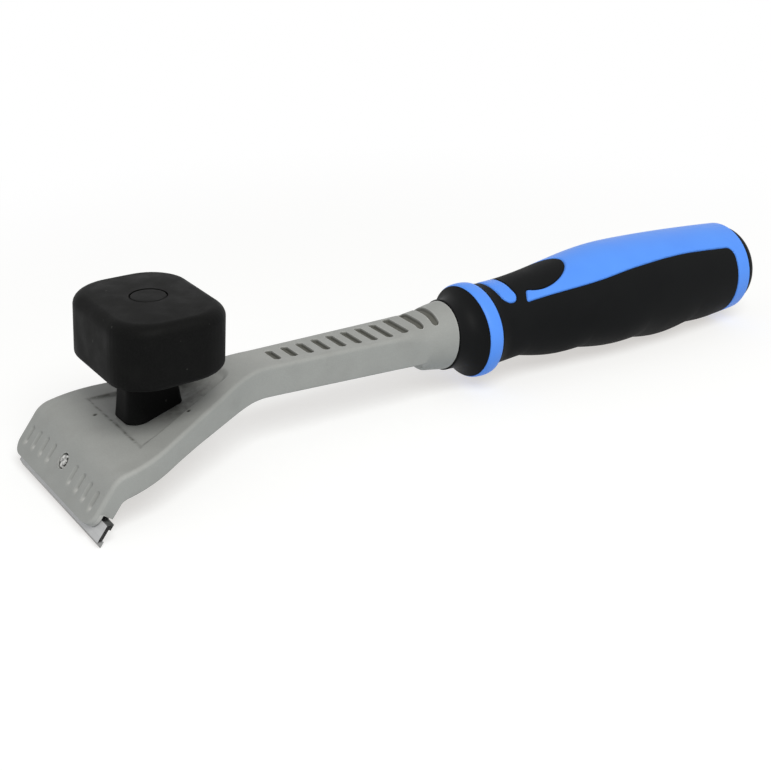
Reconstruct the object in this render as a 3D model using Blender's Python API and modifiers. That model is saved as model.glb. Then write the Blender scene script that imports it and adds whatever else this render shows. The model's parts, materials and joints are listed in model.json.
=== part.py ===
"""Paint scraper: a cast head that clamps a reversible blade, a pressure knob and a two-colour handle.

The tool is modelled along the axis of its handle, with X towards the butt, Z up and x = 0 at
the rear face of the handle's ring. It is then set down as it lies on a bench, on the edge of
the blade and the belly of the handle.
"""

import math

import bmesh
import bpy
import numpy as np
from mathutils import Vector

# Fits, in metres like every size below
CLEARANCE = 0.0003          # gap between pieces that touch
THREAD_GAP = 0.0003         # gap between a screw and its hole

# Head casting: front plate
BEND_X = -0.158             # edge where the front plate meets the top of the head
BEND_Z = -0.0049
BEND_REACH = 0.0030         # how far the rounding of that edge runs each way
PLATE_SLOPE = math.radians(53)
PLATE_LENGTH = 0.0173       # from the bend down to the lower edge
PLATE_WALL = 0.0023
PLATE_SIDE_DEPTH = 0.0060   # side walls behind the front plate
PLATE_CORNER = 0.0045       # radius of the two lower corners
GROOVE_COUNT = 4            # shallow grooves each side of the screw
GROOVE_FIRST = 0.0090       # first groove from the middle
GROOVE_PITCH = 0.00595
GROOVE_WIDTH = 0.0016
GROOVE_LENGTH = 0.0066
GROOVE_END = 0.0124         # lower end of the first groove, from the bend
GROOVE_DROP = 0.0010        # how much lower the last groove ends
GROOVE_DEPTH = 0.0005

# Head casting: top, shoulders and neck
HEAD_WIDTH = 0.0646
HEAD_RISE = 0.213           # slope of the top, rising to the neck
HEAD_SIDE_DEPTH = 0.0084
SIDE_WALL = 0.0030
SHOULDER_START = -0.1465    # full width in front of this
SHOULDER_REACH = 0.0070
NECK_START = -0.0985        # the shoulders run out here
NECK_TOP_START = -0.0968    # the top levels out here
NECK_FRONT_WIDTH = 0.0166
NECK_FRONT_DEPTH = 0.0113
NECK_REAR_WIDTH = 0.0206
NECK_REAR_DEPTH = 0.0122
NECK_FALL = 0.0010          # how far the top of the neck drops to the rear
EDGE_RADIUS = 0.0015
BOSS_START = -0.0290        # the underside steps down to the round boss here
BOSS_END = -0.0164
BOSS_FRONT_RADIUS = 0.0106
BOSS_RADIUS = 0.0124
BOSS_LEAN = 0.12            # how far the boss's end leans back, per height
SLOT_COUNT = 11
SLOT_FIRST = -0.0860
SLOT_PITCH = 0.00627
SLOT_WIDTH = 0.0023
SLOT_FRONT_LENGTH = 0.0084
SLOT_REAR_LENGTH = 0.0158
SLOT_DEPTH = 0.0012
TANG_END = 0.0900
TANG_WIDTH = 0.0130
TANG_DEPTH = 0.0100
TANG_TAPER = 0.70           # section at the end over section at the boss

# Head casting: knob pocket on top and hollow underneath
POCKET_FRONT = -0.1450
POCKET_REAR = -0.1040
POCKET_WIDTH = 0.041
POCKET_CORNER = 0.0010
POCKET_REAR_WIDTH = 0.0104
POCKET_REAR_CORNER = 0.0050
POCKET_RISE = 0.107         # slope of the pocket floor
POCKET_DROP = 0.0003        # floor below the top at the front of the pocket
FLOOR_WALL = 0.0032         # metal under the pocket floor
HOLLOW_FRONT = -0.1515
HOLLOW_REAR = -0.1120
RIB_WIDTH = 0.0030
NUT_BOSS_RADIUS = 0.0072

# Blade
BLADE_LENGTH = 0.065
BLADE_WIDTH = 0.0084
BLADE_THICKNESS = 0.0020
BLADE_BEVEL = 0.0012
BLADE_LIP = 0.0022
BLADE_GROOVE = 0.0007
BLADE_PROUD = 0.0032        # edge below the front plate
BLADE_OFFSET = -0.0037      # how far it stands out at the near side

# Clamp
CLAMP_THICKNESS = 0.0020
CLAMP_SIDE_GAP = 0.0006
CLAMP_FOOT = 0.0015
SCREW_RADIUS = 0.0025
SCREW_TIP = 0.0005          # chamfer at the tip of a screw or bolt
SCREW_BOSS_WALL = 0.0008
SCREW_BOSS_HEIGHT = 0.0023  # thread boss behind the front plate
SCREW_HEAD_RADIUS = 0.0043
SCREW_HEAD_HEIGHT = 0.0030
SCREW_SOCKET = 0.0030       # across the flats
SCREW_SOCKET_DEPTH = 0.0018
WASHER_RADIUS = 0.0046
WASHER_THICKNESS = 0.0010

# Knob
KNOB_X = -0.1301
KNOB_LENGTH = 0.0390
KNOB_WIDTH = 0.0512
KNOB_HEIGHT = 0.0216
KNOB_CORNER = 0.0135
KNOB_TOP_EDGE = 0.0040      # rounding of the top edge
KNOB_CROWN = 0.0006
KNOB_BOTTOM_EDGE = 0.0022
KNOB_UNDER_RISE = 0.027     # slope of the underside; the top is level
KNOB_LEAN = 0.055           # how far the sides lean back, per height
POST_HEIGHT = 0.0174
POST_FRONT = -0.0112        # the post tapers from front to rear, places from the knob's axis
POST_REAR = 0.0078
POST_FRONT_WIDTH = 0.0131
POST_REAR_WIDTH = 0.0044
POST_FRONT_CORNER = 0.0036
POST_REAR_CORNER = 0.0018
POST_FLARE = 0.0013
POST_FLARE_HEIGHT = 0.0150
PLUG_RADIUS = 0.0059
PLUG_THICKNESS = 0.0030
BOLT_RADIUS = 0.0025
BOLT_HEAD_RADIUS = 0.0043
BOLT_HEAD_HEIGHT = 0.0050
BOLT_SOCKET = 0.0040
BOLT_SOCKET_DEPTH = 0.0025
BOLT_WASHER_RADIUS = 0.0049
BOLT_SEAT = 0.0185          # washer seat above the pocket floor
NUT_FLATS = 0.0080
NUT_HEIGHT = 0.0040

# Handle
RING_LENGTH = 0.0060
RING_RADIUS = 0.0185
RING_EDGE_RADIUS = 0.0178
RING_TOP_SHARE = 0.905            # height of the ring's top over its radius
WAIST_X = 0.0065
WAIST_RADIUS = 0.0155
BELLY_X = 0.0660
BELLY_RADIUS = 0.0212
BUTT_X = 0.1270
BUTT_RADIUS = 0.0180
BUTT_EDGE = 0.0009
BUTT_FALL = 1.6             # how late the belly runs down to the butt
FINGER_FIRST = 0.0160       # first cusp between the finger waves
FINGER_PITCH = 0.0277
FINGER_DEPTH = 0.0014
FINGER_SPREAD = 1.5         # how fast the waves fade towards the sides
UNDERSIDE_FLAT_X = 0.0570   # the underside is flattest here
UNDERSIDE_FLAT = 0.0018
UNDERSIDE_REACH = 0.0180
SLEEVE_WALL = 0.0040
REAR_BAND = 0.0075          # width of the bare band at the butt
NOSE_RADIUS = 0.0110
COLLAR_FRONT_RADIUS = 0.0130
COLLAR_FLARE_POWER = 3.6          # how late the collar opens out
CAP_LENGTH = 0.0055
CAP_RADIUS = 0.0165
CAP_FLAT_RADIUS = 0.0115
CAP_SPIGOT_RADIUS = 0.0107
CAP_SPIGOT_LENGTH = 0.0120

# Bare windows in the grip sleeve, seen from above
CHEVRON_FRONT = 0.0050
CHEVRON_LENGTH = 0.0064
CHEVRON_HALF_WIDTH = 0.0108
CHEVRON_CORNER = 0.0028
CHEVRON_SWEEP = 0.0010      # how far its tips run back
PAD_FRONT = 0.0112
PAD_REAR = 0.0400
PAD_HALF_WIDTH = 0.0098
TAIL_X = 0.0165
WINDOW_FRONT_HALF = 0.0119
WINDOW_WIDEST_X = 0.0540
WINDOW_WIDEST_HALF = 0.0149
WINDOW_NARROW_X = 0.0980
WINDOW_NARROW_HALF = 0.0130
WINDOW_CORNER = 0.0030      # rounding where the window meets the rear band

# Mesh fineness
CORNER_STEPS = 5
CORNER_LIMIT = 0.98         # largest corner over half the smaller side
CROWN_SHARES = (0.45, 0.8)  # rings across the top of the knob
ROUND_STEPS = 32
HANDLE_STEPS = 32
SMALL_STEPS = 24
HEAD_RING_STEP = 0.0055
NECK_RING_STEP = 0.0075
MERGE_DISTANCE = 0.000001   # points closer than this are one

# Directions in the front plate's own frame: X down the plate, Y across, Z out of its back
PLATE_DOWN = Vector((-math.cos(PLATE_SLOPE), 0.0, -math.sin(PLATE_SLOPE)))
PLATE_BACK = Vector((math.sin(PLATE_SLOPE), 0.0, -math.cos(PLATE_SLOPE)))
BEND = Vector((BEND_X, 0.0, BEND_Z))
PLATE_TURN = (0.0, math.pi - PLATE_SLOPE, 0.0)
ALONG_HANDLE = (0.0, math.pi / 2, 0.0)

HALF_HEAD = HEAD_WIDTH / 2

# Places down the front plate
BLADE_EDGE_DOWN = PLATE_LENGTH + BLADE_PROUD
BLADE_TOP_DOWN = BLADE_EDGE_DOWN - BLADE_WIDTH
SCREW_HOLE_RADIUS = SCREW_RADIUS + THREAD_GAP
SCREW_BOSS_RADIUS = SCREW_HOLE_RADIUS + SCREW_BOSS_WALL
NOTCH_DOWN = BLADE_TOP_DOWN - CLEARANCE
SCREW_DOWN = NOTCH_DOWN - CLEARANCE - SCREW_BOSS_RADIUS
CLAMP_FOOT_DOWN = SCREW_DOWN - SCREW_BOSS_RADIUS - CLEARANCE
CLAMP_TOP_DOWN = CLAMP_FOOT_DOWN - CLAMP_FOOT

# Depths behind the front plate's face
BLADE_FACE = PLATE_WALL + CLEARANCE
BLADE_BACK = BLADE_FACE + BLADE_THICKNESS
BLADE_FLOOR = BLADE_BACK - BLADE_GROOVE
SCREW_BOSS_BACK = PLATE_WALL + SCREW_BOSS_HEIGHT
CLAMP_FACE = max(BLADE_BACK, SCREW_BOSS_BACK) + CLEARANCE
CLAMP_BACK = CLAMP_FACE + CLAMP_THICKNESS
WASHER_FACE = CLAMP_BACK + CLEARANCE
SCREW_HEAD_FACE = WASHER_FACE + WASHER_THICKNESS + CLEARANCE

# Heights on the knob's axis
POCKET_FLOOR_FRONT = BEND_Z + HEAD_RISE * (POCKET_FRONT - BEND_X) - POCKET_DROP
FLOOR_Z = POCKET_FLOOR_FRONT + POCKET_RISE * (KNOB_X - POCKET_FRONT)
KNOB_BASE = FLOOR_Z + CLEARANCE
KNOB_UNDER = KNOB_BASE + POST_HEIGHT
KNOB_TOP = KNOB_UNDER + KNOB_HEIGHT
BOLT_SEAT_Z = KNOB_BASE + BOLT_SEAT
BOLT_HEAD_Z = BOLT_SEAT_Z + WASHER_THICKNESS + 2 * CLEARANCE
NUT_SEAT_Z = FLOOR_Z - FLOOR_WALL
NUT_BOTTOM_Z = NUT_SEAT_Z - CLEARANCE - NUT_HEIGHT

# Ends of the grip sleeve
REAR_BAND_X = BUTT_X - REAR_BAND


def clear_scene():
    """Start from an empty scene."""
    for old in list(bpy.data.objects):
        bpy.data.objects.remove(old, do_unlink=True)


def make_collection(name):
    collection = bpy.data.collections.new(name)
    bpy.context.scene.collection.children.link(collection)
    return collection


clear_scene()
PARTS = make_collection("paint_scraper")
CUTTERS = make_collection("cutters")


def make_material(name, colour, roughness, metallic):
    material = bpy.data.materials.new(name)
    material.use_nodes = True
    shader = material.node_tree.nodes["Principled BSDF"]
    shader.inputs["Base Color"].default_value = (*colour, 1.0)
    shader.inputs["Roughness"].default_value = roughness
    shader.inputs["Metallic"].default_value = metallic
    return material


GREY_PAINT = make_material("satin_grey_paint", (0.31, 0.32, 0.31), 0.42, 0.2)
BLADE_STEEL = make_material("ground_steel", (0.36, 0.36, 0.35), 0.30, 1.0)
CLAMP_STEEL = make_material("dark_steel", (0.12, 0.12, 0.12), 0.45, 1.0)
ZINC_STEEL = make_material("zinc_plated_steel", (0.62, 0.63, 0.64), 0.28, 1.0)
KNOB_BLACK = make_material("matte_black_plastic", (0.016, 0.016, 0.016), 0.55, 0.0)
GRIP_BLACK = make_material("black_rubber", (0.014, 0.014, 0.015), 0.70, 0.0)
CORE_BLUE = make_material("blue_plastic", (0.122, 0.327, 1.0), 0.38, 0.0)
CAP_BLACK = make_material("black_plastic", (0.015, 0.015, 0.016), 0.45, 0.0)


def make_empty(name, parent=None, location=(0, 0, 0), rotation=(0, 0, 0)):
    empty = bpy.data.objects.new(name, None)
    PARTS.objects.link(empty)
    empty.parent = parent
    empty.location = location
    empty.rotation_euler = rotation
    return empty


TOOL = make_empty("tool_pose")
PLATE_FRAME = make_empty("front_plate_frame", TOOL, BEND, PLATE_TURN)
BLADE_SLIDE = make_empty("blade_slide_axis", PLATE_FRAME, (BLADE_TOP_DOWN, BLADE_OFFSET, BLADE_FACE))
CLAMP_AXIS = make_empty("clamp_screw_axis", PLATE_FRAME, (SCREW_DOWN, 0, 0))


def add_object(name, mesh, parent, material=None, location=(0, 0, 0), rotation=(0, 0, 0)):
    """A part when it has a material, and otherwise a hidden cutter."""
    thing = bpy.data.objects.new(name, mesh)
    thing.parent = parent
    thing.location = location
    thing.rotation_euler = rotation
    if material:
        mesh.materials.append(material)
        PARTS.objects.link(thing)
    else:
        thing.hide_render = True
        thing.display_type = "WIRE"
        CUTTERS.objects.link(thing)
    return thing


def shade(mesh):
    mesh.shade_smooth()
    mesh.set_sharp_from_angle(angle=math.radians(35))


def boolean(target, cutter, operation="DIFFERENCE"):
    change = target.modifiers.new(cutter.name, "BOOLEAN")
    change.operation = operation
    change.solver = "EXACT"
    change.object = cutter


def loft_mesh(name, rings):
    """Closed skin through rings of points, with flat ends."""
    mesh = bpy.data.meshes.new(name)
    shape = bmesh.new()
    loops = [[shape.verts.new(point) for point in ring] for ring in rings]
    count = len(loops[0])
    for near, far in zip(loops, loops[1:]):
        for i in range(count):
            j = (i + 1) % count
            shape.faces.new((near[i], near[j], far[j], far[i]))
    shape.faces.new(loops[0])
    shape.faces.new(loops[-1])
    bmesh.ops.recalc_face_normals(shape, faces=shape.faces)
    shape.to_mesh(mesh)
    shape.free()
    shade(mesh)
    return mesh


def prism_mesh(name, outline, low, high):
    """Flat outline in X and Y, filled and extruded from low to high."""
    curve = bpy.data.curves.new(name, "CURVE")
    curve.dimensions = "2D"
    curve.fill_mode = "BOTH"
    curve.extrude = (high - low) / 2
    spline = curve.splines.new("POLY")
    spline.points.add(len(outline) - 1)
    for point, (x, y) in zip(spline.points, outline):
        point.co = (x, y, 0, 1)
    spline.use_cyclic_u = True
    holder = bpy.data.objects.new(name, curve)
    bpy.context.scene.collection.objects.link(holder)
    graph = bpy.context.evaluated_depsgraph_get()
    mesh = bpy.data.meshes.new_from_object(holder.evaluated_get(graph))
    bpy.data.objects.remove(holder, do_unlink=True)
    bpy.data.curves.remove(curve)
    shape = bmesh.new()
    shape.from_mesh(mesh)
    bmesh.ops.remove_doubles(shape, verts=shape.verts, dist=MERGE_DISTANCE)
    bmesh.ops.translate(shape, verts=shape.verts, vec=(0, 0, (low + high) / 2))
    bmesh.ops.recalc_face_normals(shape, faces=shape.faces)
    shape.to_mesh(mesh)
    shape.free()
    shade(mesh)
    return mesh


def cylinder_mesh(name, radius, low, high, steps=SMALL_STEPS):
    mesh = bpy.data.meshes.new(name)
    shape = bmesh.new()
    bmesh.ops.create_cone(
        shape, cap_ends=True, segments=steps, radius1=radius, radius2=radius, depth=high - low
    )
    bmesh.ops.translate(shape, verts=shape.verts, vec=(0, 0, (low + high) / 2))
    shape.to_mesh(mesh)
    shape.free()
    shade(mesh)
    return mesh


def hexagon_mesh(name, flats, low, high):
    return cylinder_mesh(name, flats / math.sqrt(3), low, high, 6)


def box_mesh(name, low, high):
    mesh = bpy.data.meshes.new(name)
    shape = bmesh.new()
    bmesh.ops.create_cube(shape, size=1)
    for vertex in shape.verts:
        for axis in range(3):
            vertex.co[axis] = high[axis] if vertex.co[axis] > 0 else low[axis]
    shape.to_mesh(mesh)
    shape.free()
    return mesh


def turned(name, profile, parent, material=None, rotation=(0, 0, 0), closed=False, steps=ROUND_STEPS):
    """Shape turned about Z from (radius, height) points that run down its outer side."""
    mesh = bpy.data.meshes.new(name)
    edges = [(i, i + 1) for i in range(len(profile) - 1)]
    if closed:
        edges.append((len(profile) - 1, 0))
    mesh.from_pydata([(radius, 0, height) for radius, height in profile], edges, [])
    thing = add_object(name, mesh, parent, material, rotation=rotation)
    screw = thing.modifiers.new("turn", "SCREW")
    screw.angle = math.tau
    screw.steps = steps
    screw.render_steps = steps
    screw.use_merge_vertices = True
    screw.merge_threshold = 0.000001
    screw.use_smooth_shade = True
    return thing


def rounded(x, points, reach):
    """Height at x of a line through points, with its corners rounded over reach each way."""
    places, heights = zip(*points)
    samples = x + reach * np.linspace(-1, 1, 9)
    return float(np.mean(np.interp(samples, places, heights)))


def ease(x, start, end):
    """Smooth step from 0 at start to 1 at end."""
    share = min(max((x - start) / (end - start), 0), 1)
    return share * share * (3 - 2 * share)


def section(half_width, half_height, top_corner, bottom_corner):
    """Rounded rectangle as (across, up) points."""
    limit = CORNER_LIMIT * min(half_width, half_height)
    points = []
    for quarter in range(4):
        corner = min(top_corner if quarter < 2 else bottom_corner, limit)
        side = 1 if quarter in (0, 3) else -1
        rise = 1 if quarter < 2 else -1
        for step in range(CORNER_STEPS + 1):
            angle = math.pi / 2 * (quarter + step / CORNER_STEPS)
            across = side * (half_width - corner) + corner * math.cos(angle)
            up = rise * (half_height - corner) + corner * math.sin(angle)
            points.append((across, up))
    return points


def stadium(length, width, steps=6):
    """Slot outline along Y with round ends, centred, as (x, y) points."""
    radius = width / 2
    points = []
    for end in (1, -1):
        for step in range(steps + 1):
            angle = math.pi * step / steps + (0 if end > 0 else math.pi)
            points.append((radius * math.cos(angle), end * (length / 2 - radius) + radius * math.sin(angle)))
    return points


def tapered(front, rear, front_half, rear_half, front_corner, rear_corner):
    """Outline that narrows from a wide front end to a narrow rear end, with round corners."""
    front_x, front_y = front + front_corner, front_half - front_corner
    rear_x, rear_y = rear - rear_corner, rear_half - rear_corner
    run, spread = front_x - rear_x, front_y - rear_y
    turn = math.acos((rear_corner - front_corner) / math.hypot(run, spread))
    side = math.atan2(spread, run) - turn
    arcs = (
        (rear_x, rear_y, rear_corner, 0, side),
        (front_x, front_y, front_corner, side, math.pi),
        (front_x, -front_y, front_corner, math.pi, math.tau - side),
        (rear_x, -rear_y, rear_corner, math.tau - side, math.tau),
    )
    points = []
    for x, y, radius, start, end in arcs:
        for angle in np.linspace(start, end, CORNER_STEPS + 1):
            points.append((x + radius * math.cos(angle), y + radius * math.sin(angle)))
    return points


# Outlines of the head casting

def head_half_width(x):
    """Half width in plan: full at the front, straight shoulders, then the slowly widening neck."""
    points = (
        (BEND_X - HALF_HEAD, HALF_HEAD),
        (SHOULDER_START, HALF_HEAD),
        (NECK_START, NECK_FRONT_WIDTH / 2),
        (BOSS_START, NECK_REAR_WIDTH / 2),
    )
    return rounded(x, points, SHOULDER_REACH)


def head_top(x):
    """Height of the top surface on the middle line."""
    neck_top = BEND_Z + HEAD_RISE * (NECK_TOP_START - BEND_X)
    front = BEND_X - HALF_HEAD
    points = (
        (front, BEND_Z + HEAD_RISE * (front - BEND_X)),
        (NECK_TOP_START, neck_top),
        (BOSS_START, neck_top - NECK_FALL),
    )
    return rounded(x, points, SHOULDER_REACH / 2)


def head_depth(x):
    """Depth of the side walls below the top."""
    points = (
        (KNOB_X, HEAD_SIDE_DEPTH),
        (NECK_START, NECK_FRONT_DEPTH),
        (BOSS_START, NECK_REAR_DEPTH),
    )
    return rounded(x, points, SHOULDER_REACH)


def ring_between(outer, inner, half_width, top_corner, bottom_corner):
    """Section that stands between a point on the outer line and one on the inner line."""
    middle = (outer + inner) / 2
    up = (outer - inner) / 2
    half_height = up.length
    up.normalize()
    ring = []
    for across, rise in section(half_width, half_height, top_corner, bottom_corner):
        ring.append(middle + up * rise + Vector((0, across, 0)))
    return ring


def around_corner(corner, before, after, distance, reach):
    """Point at a distance past the corner of two straight runs, rounded over reach each way."""
    total = Vector((0, 0, 0))
    samples = np.linspace(-1, 1, 9)
    for share in samples:
        place = distance + share * reach
        total += corner + (after if place > 0 else before) * place
    return total / len(samples)


def plate_rings():
    """Sections up the front plate and round the bend."""
    slope, rise = PLATE_SLOPE, HEAD_RISE
    lean = math.cos(slope) + rise * math.sin(slope)
    inner_down = (HEAD_SIDE_DEPTH - PLATE_SIDE_DEPTH * lean) / (math.sin(slope) - rise * math.cos(slope))
    inner_corner = BEND + PLATE_DOWN * inner_down + PLATE_BACK * PLATE_SIDE_DEPTH
    along_top = Vector((1, 0, rise)).normalized()
    past_bend = (inner_corner.x - BEND_X) / along_top.x
    spread = BEND_REACH / 3
    outer_places = (-PLATE_LENGTH, -inner_down - spread, past_bend + spread)
    inner_places = (inner_down - PLATE_LENGTH, -spread, spread)
    downs = [PLATE_LENGTH - PLATE_CORNER * (1 - math.cos(angle)) for angle in np.linspace(0, math.pi / 2, 5)]
    places = [-down for down in downs] + list(np.linspace(-inner_down - spread, past_bend + spread, 7))
    rings = []
    for place in places:
        outer = around_corner(BEND, -PLATE_DOWN, along_top, place, BEND_REACH)
        inner_place = float(np.interp(place, outer_places, inner_places))
        inner = around_corner(inner_corner, -PLATE_DOWN, along_top, inner_place, spread)
        past_corner = max(0, -place - (PLATE_LENGTH - PLATE_CORNER))
        narrowing = PLATE_CORNER - math.sqrt(max(0, PLATE_CORNER ** 2 - past_corner ** 2))
        rings.append(ring_between(outer, inner, HALF_HEAD - narrowing, EDGE_RADIUS, EDGE_RADIUS / 3))
    return rings, rings[-1][0].x


def boss_radius(x):
    return float(np.interp(x, (BOSS_START, BOSS_END), (BOSS_FRONT_RADIUS, BOSS_RADIUS)))


def leaned(ring, share=1.0):
    """Ring turned to lean back like the end of the boss, or by a share of that."""
    return [Vector((point.x + share * BOSS_LEAN * point.z, point.y, point.z)) for point in ring]


def neck_ring(x, inset=0.0):
    """Upright section of the head, neck or boss, drawn in by inset."""
    step = (BOSS_END - BOSS_START) / 4
    swell = ease(x, BOSS_START - 4 * step, BOSS_END - step)
    drop = ease(x, BOSS_START - step / 2, BOSS_START + step)
    radius = boss_radius(x)
    top = (1 - swell) * head_top(x) + swell * radius - inset
    bottom = (1 - drop) * (head_top(x) - head_depth(x)) - drop * radius + inset
    half_width = (1 - swell) * head_half_width(x) + swell * radius - inset
    top_corner = (1 - swell) * EDGE_RADIUS + swell * radius
    bottom_corner = (1 - drop) * EDGE_RADIUS / 2 + drop * radius
    outer = Vector((x, 0, top))
    inner = Vector((x, 0, bottom))
    ring = ring_between(outer, inner, half_width, top_corner, bottom_corner)
    return leaned(ring, ease(x, BOSS_START, BOSS_END))


def tang_ring(x, gap=0.0):
    """Section of the tang that the handle is moulded over."""
    taper = 1 + (TANG_TAPER - 1) * (x - BOSS_END) / (TANG_END - BOSS_END)
    half_width = TANG_WIDTH / 2 * taper + gap
    half_depth = TANG_DEPTH / 2 * taper + gap
    corner = TANG_DEPTH / 4 * taper
    return [Vector((x, across, up)) for across, up in section(half_width, half_depth, corner, corner)]


def spaced(start, end, pitch):
    return list(np.linspace(start, end, max(2, round(abs(end - start) / pitch) + 1)))


def casting_rings():
    rings, fan_end = plate_rings()
    boss_step = (BOSS_END - BOSS_START) / 8
    step_start = BOSS_START - boss_step
    step_end = BOSS_START + 2 * boss_step
    places = spaced(fan_end, NECK_START, HEAD_RING_STEP)[1:]
    places += spaced(NECK_START, step_start, NECK_RING_STEP)[1:]
    places += spaced(step_start, step_end, boss_step)[1:]
    places += spaced(step_end, BOSS_END, 2 * boss_step)[1:]
    rings += [neck_ring(x) for x in places]
    rings += [leaned(tang_ring(BOSS_END)), tang_ring(TANG_END)]
    return rings


# Cutters of the head casting

def cut_blade_space(casting):
    """Opens the back of the plate for the clamp, and the side walls where the blade slides out."""
    deep = PLATE_SIDE_DEPTH * 3
    inside = HALF_HEAD - SIDE_WALL
    top = CLAMP_TOP_DOWN - CLEARANCE
    end = PLATE_LENGTH * 2
    side = [(top, inside), (NOTCH_DOWN, inside), (NOTCH_DOWN, HEAD_WIDTH), (end, HEAD_WIDTH)]
    outline = side + [(x, -y) for x, y in reversed(side)]
    channel = add_object("clamp_space", prism_mesh("clamp_space", outline, PLATE_WALL, deep), PLATE_FRAME)
    thread_boss = add_object(
        "thread_boss",
        cylinder_mesh("thread_boss", SCREW_BOSS_RADIUS, -PLATE_WALL, SCREW_BOSS_BACK),
        CLAMP_AXIS,
    )
    boolean(channel, thread_boss)
    hole = add_object(
        "thread_hole",
        cylinder_mesh("thread_hole", SCREW_HOLE_RADIUS, -PLATE_WALL, deep),
        CLAMP_AXIS,
    )
    boolean(casting, channel)
    boolean(casting, hole)


def cut_grooves(casting):
    """Shallow grooves up the front plate, their lower ends on a slight arc."""
    last = GROOVE_COUNT - 1
    for side in (1, -1):
        for i in range(GROOVE_COUNT):
            name = f"groove_{'left' if side > 0 else 'right'}_{i}"
            end = GROOVE_END + GROOVE_DROP * (i / last) ** 2
            across = side * (GROOVE_FIRST + i * GROOVE_PITCH)
            outline = [(-y, x) for x, y in stadium(GROOVE_LENGTH, GROOVE_WIDTH, 4)]
            mesh = prism_mesh(name, outline, -PLATE_WALL, GROOVE_DEPTH)
            place = (end - GROOVE_LENGTH / 2, across, 0)
            boolean(casting, add_object(name, mesh, PLATE_FRAME, location=place))


def cut_pocket(casting):
    """Sunk floor that the knob stands on, tilted less than the top of the head."""
    reach = POCKET_REAR - POCKET_FRONT
    outline = tapered(0, reach, POCKET_WIDTH / 2, POCKET_REAR_WIDTH / 2, POCKET_CORNER, POCKET_REAR_CORNER)
    mesh = prism_mesh("knob_pocket", outline, 0, KNOB_HEIGHT)
    tilt = (0, -math.atan(POCKET_RISE), 0)
    place = (POCKET_FRONT, 0, POCKET_FLOOR_FRONT)
    boolean(casting, add_object("knob_pocket", mesh, TOOL, location=place, rotation=tilt))


def cut_hollow(casting):
    """Pan under the head, with a middle rib and a boss for the knob's nut."""
    places = np.linspace(HOLLOW_FRONT, HOLLOW_REAR, 9)
    side = [(x - POCKET_FRONT, head_half_width(x) - SIDE_WALL) for x in places]
    outline = side + [(x, -y) for x, y in reversed(side)]
    mesh = prism_mesh("head_hollow", outline, -KNOB_HEIGHT, -FLOOR_WALL)
    tilt = (0, -math.atan(POCKET_RISE), 0)
    place = (POCKET_FRONT, 0, POCKET_FLOOR_FRONT)
    hollow = add_object("head_hollow", mesh, TOOL, location=place, rotation=tilt)
    rib_low = (POCKET_FRONT, -RIB_WIDTH / 2, -HEAD_WIDTH)
    rib_high = (NECK_START, RIB_WIDTH / 2, HEAD_WIDTH)
    rib = add_object("hollow_rib", box_mesh("hollow_rib", rib_low, rib_high), TOOL)
    boss_mesh = cylinder_mesh("nut_boss", NUT_BOSS_RADIUS, -HEAD_WIDTH, HEAD_WIDTH)
    boss = add_object("nut_boss", boss_mesh, TOOL, location=(KNOB_X, 0, 0))
    boolean(hollow, rib)
    boolean(hollow, boss)
    boolean(casting, hollow)


def cut_bolt_hole(casting):
    """Hole for the knob's bolt, and the hexagon pocket that holds its nut."""
    below = NUT_SEAT_Z - KNOB_HEIGHT
    hole = cylinder_mesh("bolt_hole", BOLT_RADIUS + THREAD_GAP, below, KNOB_TOP)
    pocket = hexagon_mesh("nut_pocket", NUT_FLATS + 2 * CLEARANCE, below, NUT_SEAT_Z)
    for name, mesh in (("bolt_hole", hole), ("nut_pocket", pocket)):
        boolean(casting, add_object(name, mesh, TOOL, location=(KNOB_X, 0, 0)))


def cut_slots(casting):
    """Sunk bars across the neck, longer towards the handle, with floors that follow the surface."""
    first = SLOT_FIRST - SLOT_PITCH
    last = SLOT_FIRST + SLOT_PITCH * SLOT_COUNT
    floor_rings = [neck_ring(x, SLOT_DEPTH) for x in spaced(first, last, SLOT_PITCH / 2)]
    floor = add_object("slot_floor", loft_mesh("slot_floor", floor_rings), TOOL)
    for i in range(SLOT_COUNT):
        name = f"slot_{i}"
        share = i / (SLOT_COUNT - 1)
        length = SLOT_FRONT_LENGTH + share * (SLOT_REAR_LENGTH - SLOT_FRONT_LENGTH)
        mesh = prism_mesh(name, stadium(length, SLOT_WIDTH, 5), 0, KNOB_UNDER)
        slot = add_object(name, mesh, TOOL, location=(SLOT_FIRST + i * SLOT_PITCH, 0, 0))
        boolean(slot, floor)
        boolean(casting, slot)


def make_head_casting():
    casting = add_object("head_casting", loft_mesh("head_casting", casting_rings()), TOOL, GREY_PAINT)
    cut_blade_space(casting)
    cut_grooves(casting)
    cut_pocket(casting)
    cut_hollow(casting)
    cut_bolt_hole(casting)
    cut_slots(casting)
    return casting


# Blade and clamp

def across_prism(name, outline, half_length, parent, material):
    """Section given down the plate and behind its face, run across the head."""
    mesh = prism_mesh(name, outline, -half_length, half_length)
    return add_object(name, mesh, parent, material, rotation=(math.pi / 2, 0, 0))


def make_blade():
    """Two ground edges on one strip, with a groove along its back for the clamp."""
    width, lip = BLADE_WIDTH, BLADE_LIP
    groove_back = BLADE_THICKNESS - BLADE_GROOVE
    outline = (
        (BLADE_BEVEL, 0),
        (width - BLADE_BEVEL, 0),
        (width, BLADE_THICKNESS),
        (width - lip, BLADE_THICKNESS),
        (width - lip, groove_back),
        (lip, groove_back),
        (lip, BLADE_THICKNESS),
        (0, BLADE_THICKNESS),
    )
    return across_prism("scraper_blade", outline, BLADE_LENGTH / 2, BLADE_SLIDE, BLADE_STEEL)


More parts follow.
